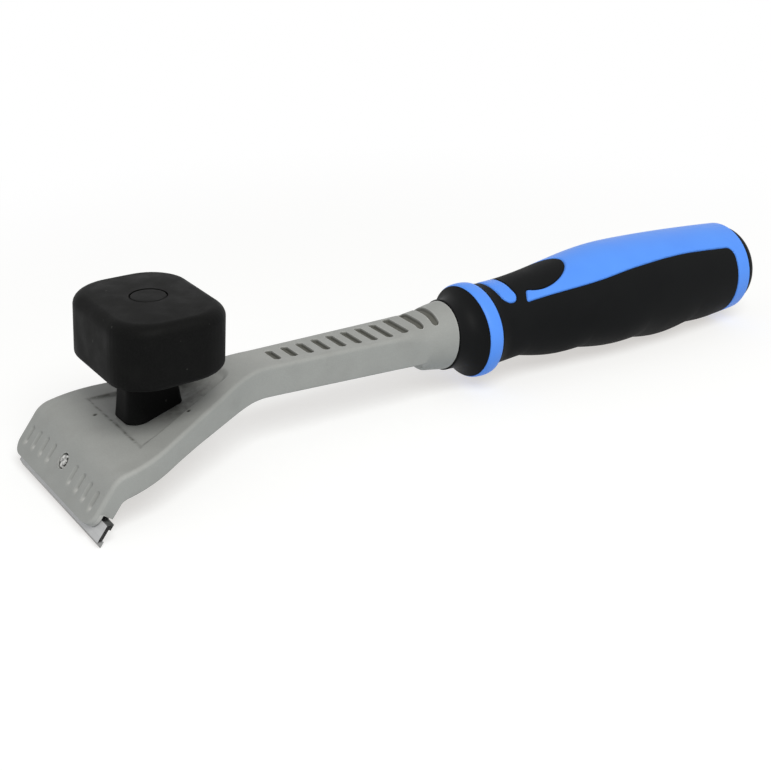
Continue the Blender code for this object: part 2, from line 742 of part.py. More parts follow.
def make_clamp_plate():
    """Steel plate that rocks on its foot and presses its rib into the blade's groove."""
    rib_start = BLADE_TOP_DOWN + BLADE_LIP + CLEARANCE - SCREW_DOWN
    rib_end = BLADE_EDGE_DOWN - BLADE_LIP - CLEARANCE - SCREW_DOWN
    foot_start = CLAMP_TOP_DOWN - SCREW_DOWN
    foot_end = CLAMP_FOOT_DOWN - SCREW_DOWN
    rib_face = BLADE_FLOOR + CLEARANCE
    outline = (
        (foot_start, PLATE_WALL + CLEARANCE),
        (foot_end, PLATE_WALL + CLEARANCE),
        (foot_end, CLAMP_FACE),
        (rib_start, CLAMP_FACE),
        (rib_start, rib_face),
        (rib_end, rib_face),
        (rib_end, CLAMP_BACK),
        (foot_start, CLAMP_BACK),
    )
    half = HALF_HEAD - SIDE_WALL - CLAMP_SIDE_GAP
    plate = across_prism("clamp_plate", outline, half, CLAMP_AXIS, CLAMP_STEEL)
    hole = cylinder_mesh("clamp_hole", SCREW_HOLE_RADIUS, 0, 2 * CLAMP_BACK)
    boolean(plate, add_object("clamp_hole", hole, CLAMP_AXIS))
    return plate


def make_screw(name, radius, tip, seat, head_radius, head_height, socket, socket_depth, parent, material):
    """Socket screw along Z, from its tip up to its seat and head."""
    top = seat + head_height
    edge = head_height / 6
    profile = (
        (0, top),
        (head_radius - edge, top),
        (head_radius, top - edge),
        (head_radius, seat),
        (radius, seat),
        (radius, tip + SCREW_TIP),
        (radius - SCREW_TIP, tip),
        (0, tip),
    )
    screw = turned(name, profile, parent, material, steps=SMALL_STEPS)
    key = hexagon_mesh(f"{name}_socket", socket, top - socket_depth, top + head_height)
    boolean(screw, add_object(f"{name}_socket", key, parent))
    return screw


def make_washer(name, radius, hole, seat, parent, material):
    profile = (
        (radius, seat + WASHER_THICKNESS),
        (radius, seat),
        (hole, seat),
        (hole, seat + WASHER_THICKNESS),
    )
    return turned(name, profile, parent, material, closed=True, steps=SMALL_STEPS)


def make_clamp_screw():
    make_screw(
        "clamp_screw", SCREW_RADIUS, 0, SCREW_HEAD_FACE, SCREW_HEAD_RADIUS, SCREW_HEAD_HEIGHT,
        SCREW_SOCKET, SCREW_SOCKET_DEPTH, CLAMP_AXIS, ZINC_STEEL,
    )
    make_washer("clamp_washer", WASHER_RADIUS, SCREW_HOLE_RADIUS, WASHER_FACE, CLAMP_AXIS, ZINC_STEEL)


# Knob

KNOB_AXIS = make_empty("knob_axis", TOOL, (KNOB_X, 0, 0))


def raked(ring, height, rise):
    """Points at one height of the knob's axis, on a plane that rises to the rear."""
    return [Vector((x, y, height + rise * x)) for x, y in ring]


def post_outline(flare):
    front, rear = POST_FRONT - flare, POST_REAR + flare
    front_half, rear_half = POST_FRONT_WIDTH / 2 + flare, POST_REAR_WIDTH / 2 + flare
    return tapered(front, rear, front_half, rear_half, POST_FRONT_CORNER + flare, POST_REAR_CORNER + flare)


def post_rings():
    """Tapered post with a flared foot on the pocket floor."""
    rings = []
    for share in np.linspace(0, 1, 4):
        outline = post_outline(POST_FLARE * (1 - share) ** 2)
        rings.append(raked(outline, KNOB_BASE + share * POST_FLARE_HEIGHT, POCKET_RISE))
    rings.append(raked(post_outline(0), KNOB_UNDER, KNOB_UNDER_RISE))
    return rings


def knob_profile():
    """Inset and height of each ring of the knob, from its underside to the middle of its top."""
    profile = []
    for angle in np.linspace(0, math.pi / 2, 4):
        inset = KNOB_BOTTOM_EDGE * (1 - math.sin(angle))
        profile.append((inset, KNOB_UNDER + KNOB_BOTTOM_EDGE * (1 - math.cos(angle))))
    shoulder = KNOB_TOP - KNOB_CROWN - KNOB_TOP_EDGE
    for angle in np.linspace(0, math.pi / 2, 7):
        inset = KNOB_TOP_EDGE * (1 - math.cos(angle))
        profile.append((inset, shoulder + KNOB_TOP_EDGE * math.sin(angle)))
    reach = min(KNOB_LENGTH, KNOB_WIDTH) / 2 - KNOB_TOP_EDGE
    for share in CROWN_SHARES:
        profile.append((KNOB_TOP_EDGE + share * reach, KNOB_TOP - KNOB_CROWN * (1 - share) ** 2))
    return profile


def knob_rings():
    """Post, then the rounded knob: a sloping underside, sides that lean back and a level top."""
    rings = post_rings()
    for inset, height in knob_profile():
        corner = max(KNOB_CORNER - inset / 2, KNOB_CORNER / 2)
        outline = section(KNOB_LENGTH / 2 - inset, KNOB_WIDTH / 2 - inset, corner, corner)
        below = KNOB_TOP - height
        shifted = [(x - KNOB_LEAN * below, y) for x, y in outline]
        rings.append(raked(shifted, height, KNOB_UNDER_RISE * below / KNOB_HEIGHT))
    return rings


def make_knob():
    """Moulded knob, bored for a bolt whose head a flush plug hides."""
    knob = add_object("knob_body", loft_mesh("knob_body", knob_rings()), KNOB_AXIS, KNOB_BLACK)
    plug_seat = KNOB_TOP - PLUG_THICKNESS
    above = KNOB_TOP + KNOB_HEIGHT
    plug_bore = cylinder_mesh("plug_bore", PLUG_RADIUS + CLEARANCE, plug_seat - CLEARANCE, above, ROUND_STEPS)
    head_bore = cylinder_mesh("head_bore", BOLT_WASHER_RADIUS + CLEARANCE, BOLT_SEAT_Z, above)
    shank_bore = cylinder_mesh("shank_bore", BOLT_RADIUS + THREAD_GAP, KNOB_BASE - KNOB_HEIGHT, above)
    for name, mesh in (("plug_bore", plug_bore), ("head_bore", head_bore), ("shank_bore", shank_bore)):
        boolean(knob, add_object(name, mesh, KNOB_AXIS))
    plug = add_object("knob_plug", loft_mesh("knob_plug", knob_rings()), KNOB_AXIS, KNOB_BLACK)
    plug_form = cylinder_mesh("plug_form", PLUG_RADIUS, plug_seat, above, ROUND_STEPS)
    boolean(plug, add_object("plug_form", plug_form, KNOB_AXIS), "INTERSECT")


def make_knob_fixings():
    make_screw(
        "knob_bolt", BOLT_RADIUS, NUT_BOTTOM_Z - CLEARANCE, BOLT_HEAD_Z, BOLT_HEAD_RADIUS, BOLT_HEAD_HEIGHT,
        BOLT_SOCKET, BOLT_SOCKET_DEPTH, KNOB_AXIS, ZINC_STEEL,
    )
    hole = BOLT_RADIUS + THREAD_GAP
    make_washer("knob_bolt_washer", BOLT_WASHER_RADIUS, hole, BOLT_SEAT_Z + CLEARANCE, KNOB_AXIS, ZINC_STEEL)
    nut_top = NUT_SEAT_Z - CLEARANCE
    nut = hexagon_mesh("knob_nut", NUT_FLATS, NUT_BOTTOM_Z, nut_top)
    nut = add_object("knob_nut", nut, KNOB_AXIS, ZINC_STEEL)
    thread = cylinder_mesh("nut_thread", hole, NUT_BOTTOM_Z - NUT_HEIGHT, nut_top + NUT_HEIGHT)
    boolean(nut, add_object("nut_thread", thread, KNOB_AXIS))


# Handle

def belly_radius(x):
    """Radius of the handle before its finger waves."""
    if x < BELLY_X:
        return WAIST_RADIUS + (BELLY_RADIUS - WAIST_RADIUS) * (0.5 - 0.5 * math.cos(
            math.pi * max(0, x - WAIST_X) / (BELLY_X - WAIST_X)))
    share = (x - BELLY_X) / (BUTT_X - BELLY_X)
    return BELLY_RADIUS - (BELLY_RADIUS - BUTT_RADIUS) * share ** BUTT_FALL


def ring_profile():
    """Places and radii of the ring and the fall behind it, from front to rear."""
    edge = RING_RADIUS - RING_EDGE_RADIUS
    return (
        (-RING_LENGTH, RING_EDGE_RADIUS),
        (-RING_LENGTH + edge, RING_RADIUS - edge / 4),
        (-RING_LENGTH / 2, RING_RADIUS),
        (-edge, RING_RADIUS - edge / 4),
        (0, RING_EDGE_RADIUS),
        (WAIST_X / 4, (RING_EDGE_RADIUS + WAIST_RADIUS) / 2),
        (WAIST_X / 2, WAIST_RADIUS + edge / 4),
    )


def ring_top(x):
    """Height of the top over the radius: lowered at the ring, full at the boss and the waist."""
    places = (BOSS_END, -RING_LENGTH, 0, WAIST_X)
    return float(np.interp(x, places, (1.0, RING_TOP_SHARE, RING_TOP_SHARE, 1.0)))


def handle_ring(x, radius, top=1.0):
    """Round section whose underside dips between the fingers, with its upper half lowered to a share."""
    in_grip = ease(x, 0, WAIST_X) * (1 - ease(x, REAR_BAND_X - FINGER_PITCH / 3, REAR_BAND_X))
    wave = 1 - abs(math.sin(math.pi * (x - FINGER_FIRST) / FINGER_PITCH))
    flat = math.exp(-((x - UNDERSIDE_FLAT_X) / UNDERSIDE_REACH) ** 2)
    dip = in_grip * (FINGER_DEPTH * wave + UNDERSIDE_FLAT * flat)
    points = []
    for step in range(HANDLE_STEPS):
        angle = math.tau * step / HANDLE_STEPS
        reach = radius - dip * max(0, -math.sin(angle)) ** FINGER_SPREAD
        up = reach * math.sin(angle)
        points.append(Vector((x, reach * math.cos(angle), up * top if up > 0 else up)))
    return points


def handle_rings():
    rings = [handle_ring(x, radius, ring_top(x)) for x, radius in ring_profile()]
    for x in spaced(WAIST_X, BUTT_X - BUTT_EDGE, FINGER_PITCH / 8):
        rings.append(handle_ring(x, belly_radius(x)))
    rings.append(handle_ring(BUTT_X, BUTT_RADIUS - BUTT_EDGE))
    return rings


def nose_rings():
    """Front end of the core, inside the collar."""
    front = leaned(handle_ring(BOSS_END + CLEARANCE, NOSE_RADIUS))
    return [front, handle_ring(-RING_LENGTH, NOSE_RADIUS)]


def core_profile(gap):
    """Surface under the sleeve as (radius, place) points from the rear to the front."""
    front, rear = -RING_LENGTH / 2, REAR_BAND_X + REAR_BAND / 2
    places = [rear] + spaced(REAR_BAND_X, WAIST_X, FINGER_PITCH / 4) + [front]
    profile = [(belly_radius(x) - SLEEVE_WALL + gap, x) for x in places]
    return [(0, rear)] + profile + [(0, front)]


def chevron_outline(gap):
    """Band across the handle behind the ring, with round ends swept a little back."""
    half_length, half_width = CHEVRON_LENGTH / 2 + gap, CHEVRON_HALF_WIDTH + gap
    outline = section(half_length, half_width, CHEVRON_CORNER + gap, CHEVRON_CORNER + gap)
    middle = CHEVRON_FRONT + CHEVRON_LENGTH / 2
    return [(middle + x + CHEVRON_SWEEP * (y / half_width) ** 2, y) for x, y in outline]


def window_half_width(x):
    if x < WINDOW_WIDEST_X:
        share = ease(x, TAIL_X, WINDOW_WIDEST_X)
        return WINDOW_FRONT_HALF + (WINDOW_WIDEST_HALF - WINDOW_FRONT_HALF) * share
    share = ease(x, WINDOW_WIDEST_X, WINDOW_NARROW_X)
    return WINDOW_WIDEST_HALF + (WINDOW_NARROW_HALF - WINDOW_WIDEST_HALF) * share


def window_sides(gap):
    """Outer edge of the window, from its tail to the round corner at the rear band."""
    corner_start = REAR_BAND_X - WINDOW_CORNER
    places = spaced(TAIL_X, corner_start, FINGER_PITCH / 4)
    points = [(x, window_half_width(x) + gap) for x in places]
    points[0] = (TAIL_X - gap, points[0][1])
    last = points[-1][1]
    for angle in np.linspace(0, math.pi / 2, 5)[1:]:
        x = corner_start + WINDOW_CORNER * math.sin(angle) - gap
        points.append((x, last + WINDOW_CORNER * (1 - math.cos(angle))))
    points.append((REAR_BAND_X + REAR_BAND / 2, points[-1][1]))
    return points


def pad_edge(gap):
    """Oval edge of the thumb pad, from its rear end to the window's tail."""
    middle = (PAD_FRONT + PAD_REAR) / 2
    half_length = PAD_REAR - middle - gap
    half_width = PAD_HALF_WIDTH - gap
    first = math.asin((TAIL_X - gap - middle) / half_length)
    angles = np.linspace(math.pi / 2, first, 11)
    return [(middle + half_length * math.sin(angle), half_width * math.cos(angle)) for angle in angles]


def window_outline(gap):
    """Long window over the top: two tails beside the thumb pad, then a tongue to the rear band."""
    half = pad_edge(gap)[1:] + window_sides(gap)
    return [pad_edge(gap)[0]] + half + [(x, -y) for x, y in reversed(half)]


def bare_forms(gap):
    """Cutters for everything on the handle that the sleeve leaves bare, grown by a gap."""
    tag = "sleeve" if gap else "core"
    wide = 2 * BELLY_RADIUS
    front_low = (BOSS_END - RING_LENGTH, -wide, -wide)
    front = box_mesh(f"{tag}_ring", front_low, (gap, wide, wide))
    rear = box_mesh(f"{tag}_band", (REAR_BAND_X - gap, -wide, -wide), (BUTT_X + REAR_BAND, wide, wide))
    low, high = BELLY_RADIUS / 8, BELLY_RADIUS * 1.5
    chevron = prism_mesh(f"{tag}_chevron", chevron_outline(gap), low, high)
    window = prism_mesh(f"{tag}_window", window_outline(gap), low, high)
    return [add_object(mesh.name, mesh, TOOL) for mesh in (front, rear, chevron, window)]


def make_handle_core():
    """Blue core: ring, chevron, top window and rear band stand up to the surface."""
    core = add_object("handle_core", loft_mesh("handle_core", nose_rings() + handle_rings()), TOOL, CORE_BLUE)
    space = turned("core_space", core_profile(0), TOOL, rotation=ALONG_HANDLE)
    for form in bare_forms(0):
        boolean(space, form, "UNION")
    boolean(core, space, "INTERSECT")
    places = (BOSS_END - RING_LENGTH, TANG_END + CLEARANCE)
    tang = loft_mesh("tang_hole", [tang_ring(x, CLEARANCE) for x in places])
    boolean(core, add_object("tang_hole", tang, TOOL))
    bore_start = BUTT_X - CAP_SPIGOT_LENGTH
    bore = cylinder_mesh("cap_bore", CAP_SPIGOT_RADIUS + CLEARANCE, bore_start, BUTT_X + CAP_LENGTH)
    boolean(core, add_object("cap_bore", bore, TOOL, rotation=ALONG_HANDLE))


def make_grip_sleeve():
    """Black grip moulded round the core, with the thumb pad on top."""
    sleeve = add_object("grip_sleeve", loft_mesh("grip_sleeve", handle_rings()), TOOL, GRIP_BLACK)
    boolean(sleeve, turned("sleeve_bore", core_profile(CLEARANCE), TOOL, rotation=ALONG_HANDLE))
    for form in bare_forms(CLEARANCE):
        boolean(sleeve, form)


def make_front_collar():
    """Flared black collar between the casting's boss and the ring."""
    front = BOSS_END + CLEARANCE
    rear = -RING_LENGTH - CLEARANCE
    rings = []
    for share in np.linspace(0, 1, 9):
        x = front + share * (rear - front)
        radius = COLLAR_FRONT_RADIUS + (RING_EDGE_RADIUS - COLLAR_FRONT_RADIUS) * share ** COLLAR_FLARE_POWER
        rings.append(leaned(handle_ring(x, radius, ring_top(x)), 1 - share))
    collar = add_object("front_collar", loft_mesh("front_collar", rings), TOOL, GRIP_BLACK)
    bore = cylinder_mesh("collar_bore", NOSE_RADIUS + CLEARANCE, front - RING_LENGTH, 0, ROUND_STEPS)
    boolean(collar, add_object("collar_bore", bore, TOOL, rotation=ALONG_HANDLE))


def make_end_cap():
    """Black cap with a flat end and a spigot in the butt of the core."""
    face = BUTT_X + CLEARANCE
    end = BUTT_X + CAP_LENGTH
    rim = CAP_RADIUS - CAP_FLAT_RADIUS
    spigot_end = BUTT_X - CAP_SPIGOT_LENGTH + CLEARANCE
    profile = [(0, end)]
    for angle in np.linspace(0, math.pi / 2, 6):
        radius = CAP_FLAT_RADIUS + rim * math.sin(angle)
        profile.append((radius, end - (CAP_LENGTH - BUTT_EDGE) * (1 - math.cos(angle))))
    profile += [(CAP_RADIUS, face), (CAP_SPIGOT_RADIUS, face)]
    profile += [(CAP_SPIGOT_RADIUS, spigot_end), (0, spigot_end)]
    turned("end_cap", profile, TOOL, CAP_BLACK, ALONG_HANDLE)


# Setting the tool down

def tool_points():
    """Every point of every part, in the tool's own frame."""
    bpy.context.view_layer.update()
    graph = bpy.context.evaluated_depsgraph_get()
    points = []
    for part in PARTS.objects:
        if part.type == "MESH":
            solid = part.evaluated_get(graph)
            mesh = solid.to_mesh()
            points += [part.matrix_world @ vertex.co for vertex in mesh.vertices]
            solid.to_mesh_clear()
    return np.array(points)


def set_down():
    """Turns the tool until the blade's edge and the belly share the floor, origin under its middle."""
    edge = BEND + PLATE_DOWN * BLADE_EDGE_DOWN + PLATE_BACK * BLADE_BACK
    points = tool_points()
    belly = points[points[:, 0] > 0]
    slope = np.min((belly[:, 2] - edge.z) / (belly[:, 0] - edge.x))
    pitch = math.atan(slope)
    turned_x = points[:, 0] * math.cos(pitch) + points[:, 2] * math.sin(pitch)
    turned_z = points[:, 2] * math.cos(pitch) - points[:, 0] * math.sin(pitch)
    middle_y = (points[:, 1].min() + points[:, 1].max()) / 2
    middle_x = (turned_x.min() + turned_x.max()) / 2
    TOOL.rotation_euler = (0, pitch, 0)
    TOOL.location = (-middle_x, -middle_y, -turned_z.min())
    bpy.context.view_layer.update()


make_head_casting()
make_blade()
make_clamp_plate()
make_clamp_screw()
make_knob()
make_knob_fixings()
make_handle_core()
make_grip_sleeve()
make_front_collar()
make_end_cap()
set_down()
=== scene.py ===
"""Looks of the paint scraper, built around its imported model.

Every piece is shaped in the tool's own frame, with X along the handle towards the butt, Z up and
x = 0 at the rear face of the handle's ring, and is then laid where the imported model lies.
"""

import json
import math

import bmesh
import bpy
import numpy as np
from mathutils import Matrix, Vector


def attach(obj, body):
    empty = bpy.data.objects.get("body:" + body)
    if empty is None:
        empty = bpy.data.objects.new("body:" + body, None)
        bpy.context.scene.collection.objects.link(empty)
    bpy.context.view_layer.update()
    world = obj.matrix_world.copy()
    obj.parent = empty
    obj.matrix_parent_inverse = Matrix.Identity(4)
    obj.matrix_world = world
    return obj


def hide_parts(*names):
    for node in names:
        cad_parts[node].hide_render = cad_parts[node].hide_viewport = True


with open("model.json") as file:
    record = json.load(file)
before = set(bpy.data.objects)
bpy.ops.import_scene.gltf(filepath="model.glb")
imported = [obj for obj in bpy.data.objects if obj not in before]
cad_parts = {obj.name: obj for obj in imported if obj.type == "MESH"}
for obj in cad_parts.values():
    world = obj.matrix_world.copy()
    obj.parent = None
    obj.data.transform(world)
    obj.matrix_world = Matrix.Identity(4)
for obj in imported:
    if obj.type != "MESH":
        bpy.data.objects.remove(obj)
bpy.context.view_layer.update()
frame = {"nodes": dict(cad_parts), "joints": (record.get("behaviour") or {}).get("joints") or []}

# Sizes of the tool, in metres
CLEARANCE = 0.0003
BEND_X = -0.158
BEND_Z = -0.0049
BEND_REACH = 0.0030
PLATE_SLOPE = math.radians(53)
PLATE_LENGTH = 0.0173
PLATE_WALL = 0.0023
PLATE_SIDE_DEPTH = 0.0060
PLATE_CORNER = 0.0045
GROOVE_COUNT = 4
GROOVE_FIRST = 0.0090
GROOVE_PITCH = 0.00595
GROOVE_WIDTH = 0.0016
GROOVE_LENGTH = 0.0066
GROOVE_END = 0.0124
GROOVE_DROP = 0.0010
GROOVE_DEPTH = 0.0006
HEAD_WIDTH = 0.0646
HEAD_RISE = 0.213
HEAD_SIDE_DEPTH = 0.0084
SIDE_WALL = 0.0030
SHOULDER_START = -0.1465
SHOULDER_REACH = 0.0070
NECK_START = -0.0985
NECK_TOP_START = -0.0968
NECK_FRONT_WIDTH = 0.0166
NECK_FRONT_DEPTH = 0.0113
NECK_REAR_WIDTH = 0.0206
NECK_REAR_DEPTH = 0.0122
NECK_FALL = 0.0010
EDGE_RADIUS = 0.0015
BOSS_START = -0.0290
BOSS_END = -0.0164
BOSS_FRONT_RADIUS = 0.0106
BOSS_RADIUS = 0.0124
BOSS_LEAN = 0.12
SLOT_COUNT = 11
SLOT_FIRST = -0.0860
SLOT_PITCH = 0.00627
SLOT_WIDTH = 0.0026
SLOT_FRONT_LENGTH = 0.0084
SLOT_REAR_LENGTH = 0.0158
SLOT_DEPTH = 0.0012
TANG_END = 0.0900
TANG_WIDTH = 0.0130
TANG_DEPTH = 0.0100
TANG_TAPER = 0.70
POCKET_FRONT = -0.1450
POCKET_REAR = -0.1040
POCKET_WIDTH = 0.041
POCKET_CORNER = 0.0010
POCKET_REAR_WIDTH = 0.0104
POCKET_REAR_CORNER = 0.0050
POCKET_RISE = 0.107
POCKET_DROP = 0.0003
POCKET_FLOOR_WALL = 0.0032
HOLLOW_FRONT = -0.1515
HOLLOW_REAR = -0.1120
RIB_WIDTH = 0.0030
NUT_BOSS_RADIUS = 0.0072
BLADE_LENGTH = 0.065
BLADE_WIDTH = 0.0084
BLADE_THICKNESS = 0.0020
BLADE_BEVEL = 0.0012
BLADE_LIP = 0.0022
BLADE_GROOVE = 0.0007
BLADE_PROUD = 0.0032
BLADE_OFFSET = -0.0037
CLAMP_THICKNESS = 0.0020
CLAMP_SIDE_GAP = 0.0006
CLAMP_FOOT = 0.0015
SCREW_RADIUS = 0.0025
SCREW_BOSS_WALL = 0.0008
SCREW_BOSS_HEIGHT = 0.0023
KNOB_X = -0.1301
KNOB_LENGTH = 0.0390
KNOB_WIDTH = 0.0512
KNOB_HEIGHT = 0.0216
KNOB_CORNER = 0.0135
KNOB_TOP_EDGE = 0.0040
KNOB_CROWN = 0.0006
KNOB_CROWN_SHARE = 0.97
KNOB_BOTTOM_EDGE = 0.0022
KNOB_UNDER_RISE = 0.027
KNOB_LEAN = 0.055
POST_HEIGHT = 0.0174
POST_FRONT = -0.0112
POST_REAR = 0.0078
POST_FRONT_WIDTH = 0.0131
POST_REAR_WIDTH = 0.0044
POST_FRONT_CORNER = 0.0036
POST_REAR_CORNER = 0.0018
POST_FLARE = 0.0013
POST_FLARE_HEIGHT = 0.0150
PLUG_RADIUS = 0.0059
PLUG_THICKNESS = 0.0030
PLUG_EDGE = 0.0006
BOLT_RADIUS = 0.0025
BOLT_WASHER_RADIUS = 0.0049
BOLT_SEAT = 0.0185
NUT_FLATS = 0.0080
RING_LENGTH = 0.0060
RING_RADIUS = 0.0185
RING_EDGE_RADIUS = 0.0178
RING_TOP_SHARE = 0.905
WAIST_X = 0.0065
WAIST_RADIUS = 0.0155
BELLY_X = 0.0660
BELLY_RADIUS = 0.0212
BUTT_X = 0.1270
BUTT_RADIUS = 0.0180
BUTT_EDGE = 0.0009
BUTT_FALL = 1.6
FINGER_FIRST = 0.0160
FINGER_PITCH = 0.0277
FINGER_DEPTH = 0.0014
FINGER_SPREAD = 1.5
UNDERSIDE_FLAT_X = 0.0570
UNDERSIDE_FLAT = 0.0018
UNDERSIDE_REACH = 0.0180
SLEEVE_WALL = 0.0040
REAR_BAND = 0.0075
NOSE_RADIUS = 0.0110
COLLAR_FRONT_RADIUS = 0.0130
COLLAR_FLARE_POWER = 3.6
CAP_LENGTH = 0.0055
CAP_RADIUS = 0.0165
CAP_FLAT_RADIUS = 0.0115
CAP_SPIGOT_RADIUS = 0.0107
CAP_SPIGOT_LENGTH = 0.0120
CHEVRON_FRONT = 0.0050
CHEVRON_LENGTH = 0.0064
CHEVRON_HALF_WIDTH = 0.0108
CHEVRON_CORNER = 0.0028
CHEVRON_SWEEP = 0.0010
PAD_FRONT = 0.0112
PAD_REAR = 0.0400
PAD_HALF_WIDTH = 0.0098
TAIL_X = 0.0160
TAIL_MIDDLE = 0.0102
TAIL_SLANT = 0.55
TAIL_CORNER = 0.0010
WINDOW_FRONT_HALF = 0.0119
WINDOW_WIDEST_X = 0.0540
WINDOW_WIDEST_HALF = 0.0149
WINDOW_NARROW_X = 0.0980
WINDOW_NARROW_HALF = 0.0130
WINDOW_CORNER = 0.0030

# Softness of the moulded and cast forms
SLOT_SOFT = 0.00020
GROOVE_SOFT = 0.00035
POCKET_SOFT = 0.0009
POCKET_REAR_SOFT = 0.0020
POCKET_DISH = 0.75
POCKET_DISH_START = -0.1210
SEAM_SOFT = 0.00045
SEAM_DEPTH = 0.0012
COLLAR_LIP = 0.0005
BLADE_EDGE_SOFT = 0.00010
CLAMP_EDGE_SOFT = 0.00025

# Small casting pits on the head: place along and across, and radius
PITS = ((-0.1474, 0.0092, 0.0005), (-0.1247, -0.0137, 0.00045))
PIT_DEPTH = 0.0003

# How strongly painted shade darkens recesses: 1 is a slot's floor, 2 is a pit painted black as shade
SLOT_SHADE_START = 0.1
SLOT_SHADE_END = 0.6
PIT_SHADE = 3
GROOVE_SHADE = 0.18
# Painted shade mixed with dirt along the pocket's edge, and painted shade on the pocket floor round the
# post, under the knob
CREASE_WIDTH = 0.0005
POST_SHADE = 0.55
POST_SHADE_REACH = 0.0060
# Radius of the painted glints at the grooves' lower ends
GLINT_RADIUS = 0.0007

# How squarely a face of the blade looks across its edge, forward or sideways to count as a bevel or an end
BEVEL_ACROSS = 0.3
BEVEL_FRONT = 0.2
BLADE_END_FACING = 0.9

# Heights between which the sheared end of the blade turns from bright to dark
SHEAR_BRIGHT_BELOW = 0.0018
SHEAR_DARK_ABOVE = 0.0024

# Colours, as linear red, green, blue and alpha; a pair is the range of a mottled surface
WHITE = (1, 1, 1, 1)
COATING = (0.328, 0.337, 0.325, 1), (0.371, 0.378, 0.364, 1)
COATING_GRAIN = (0.25, 0.255, 0.245, 1)
COATING_SMUDGE = (0.24, 0.24, 0.225, 1)
# Painted highlight along the coating's outer edges
COATING_EDGE_HIGHLIGHT = (0.46, 0.465, 0.45, 1)
# Painted shade mixed with dirt in the pocket
POCKET_SHADE_AND_DIRT = (0.095, 0.093, 0.082, 1)
# Painted shade on the slot and groove floors, and black painted shade in the pits
SLOT_PAINTED_SHADE = (0.108, 0.108, 0.095, 1)
PIT_PAINTED_SHADE = (0.006, 0.006, 0.006, 1)
# Painted glint colour, at the grooves' ends and on the clamp screw
PAINTED_GLINT = (0.62, 0.62, 0.60, 1)
ROLLED_STEEL = (0.46, 0.465, 0.47, 1), (0.54, 0.545, 0.55, 1)
STEEL_STAIN = (0.30, 0.295, 0.285, 1)
# Ground bevel colour painted dark as shade along the blade's edge
GROUND_STEEL_PAINTED_DARK = (0.13, 0.13, 0.13, 1), (0.22, 0.22, 0.22, 1)
SHEARED_STEEL = (0.010, 0.010, 0.010, 1), (0.060, 0.058, 0.055, 1)
SHEARED_STEEL_LOWER_PALE = (0.30, 0.30, 0.295, 1)
BLACK_OXIDE = (0.03, 0.03, 0.031, 1), (0.07, 0.069, 0.067, 1)
BLACK_OXIDE_EDGE = (0.20, 0.195, 0.19, 1)
ZINC = (0.42, 0.43, 0.44, 1), (0.66, 0.66, 0.63, 1)
# Dark oiled steel, and bright spots that are partly wear and partly painted glints
OILED_STEEL_WEAR_AND_GLINT = (0.035, 0.035, 0.033, 1), PAINTED_GLINT
KNOB_BLACK = (0.0050, 0.0051, 0.0050, 1), (0.0078, 0.0079, 0.0078, 1)
KNOB_SCUFF = (0.011, 0.011, 0.0105, 1)
KNOB_SPECK = (0.06, 0.06, 0.056, 1)
GRIP_BLACK = (0.0066, 0.0070, 0.0074, 1), (0.0094, 0.0098, 0.0102, 1)
CORE_BLUE = (0.098, 0.305, 0.97, 1), (0.112, 0.335, 1.0, 1)

# Floor: its size, its colour, the light added where it is seen, and where it turns plain white
FLOOR_SIZE = 6.0
FLOOR_COLOUR = (0.76, 0.80, 0.83, 1)
FLOOR_GLOW = (0.34, 0.31, 0.28, 1)
FLOOR_NEAR = 0.12
FLOOR_FAR = 0.36
FLOOR_WHITE_NEAR = 0.40

# Light
WORLD_STRENGTH = 0.42
KEY_PLACE = Vector((-0.20, -0.76, 1.06))
KEY_TARGET = Vector((0, 0, 0.03))
KEY_SIZE = 0.8
KEY_POWER = 11.3
KEY_COLOUR = (1.0, 0.99, 0.955)

# Mesh fineness: points along or round each form, and steps between rings
UPPER_POINTS = 150
SIDE_POINTS = 4
FLAT_POINTS = 16
SLOT_STEP = SLOT_PITCH / 30
HEAD_STEP = 0.00040
PLATE_STEP = 0.00035
HANDLE_STEP = 0.00042
HANDLE_TOP_POINTS = 120
HANDLE_LOW_POINTS = 56
ROUND_POINTS = 96
CORNER_POINTS = 12
PLATE_CORNER_POINTS = 14
HOLLOW_POINTS = 40
POST_POINTS = 10
KNOB_BOTTOM_POINTS = 9
KNOB_SIDE_POINTS = 12
KNOB_EDGE_POINTS = 20
KNOB_TOP_POINTS = 16
PLUG_EDGE_POINTS = 7
SLEEVE_UNDER_POINTS = 24
COLLAR_LIP_POINTS = 6
COLLAR_POINTS = 40
CAP_EDGE_POINTS = 16
SOFTEN_POINTS = 3
HANDLE_TOP_START = math.radians(35)

# Meshing limits: sharp angles, merged points, shares that keep a form open, and samples over a bend
SHARP_ANGLE = math.radians(38)
SOFT_SHARP_ANGLE = math.radians(50)
SOFTEN_ANGLE = math.radians(25)
MERGE_DISTANCE = 0.000001
LARGEST_CORNER_SHARE = 0.98
NEAR_AXIS_SHARE = 0.02
BEND_SAMPLES = np.linspace(-1, 1, 9)
TINY = 1e-9

# Camera, in the tool's frame, with the picture 771 by 771 pixels
PICTURE = 771
FOCAL_PIXELS = 1423.78
CAMERA_PLACE = Vector((-0.30135, -0.39123, 0.19861))
CAMERA_RIGHT = Vector((0.8337, -0.5522, 0.0097))
CAMERA_UP = Vector((0.2206, 0.3491, 0.9107))
SENSOR = 36.0
CLIP_START = 0.01

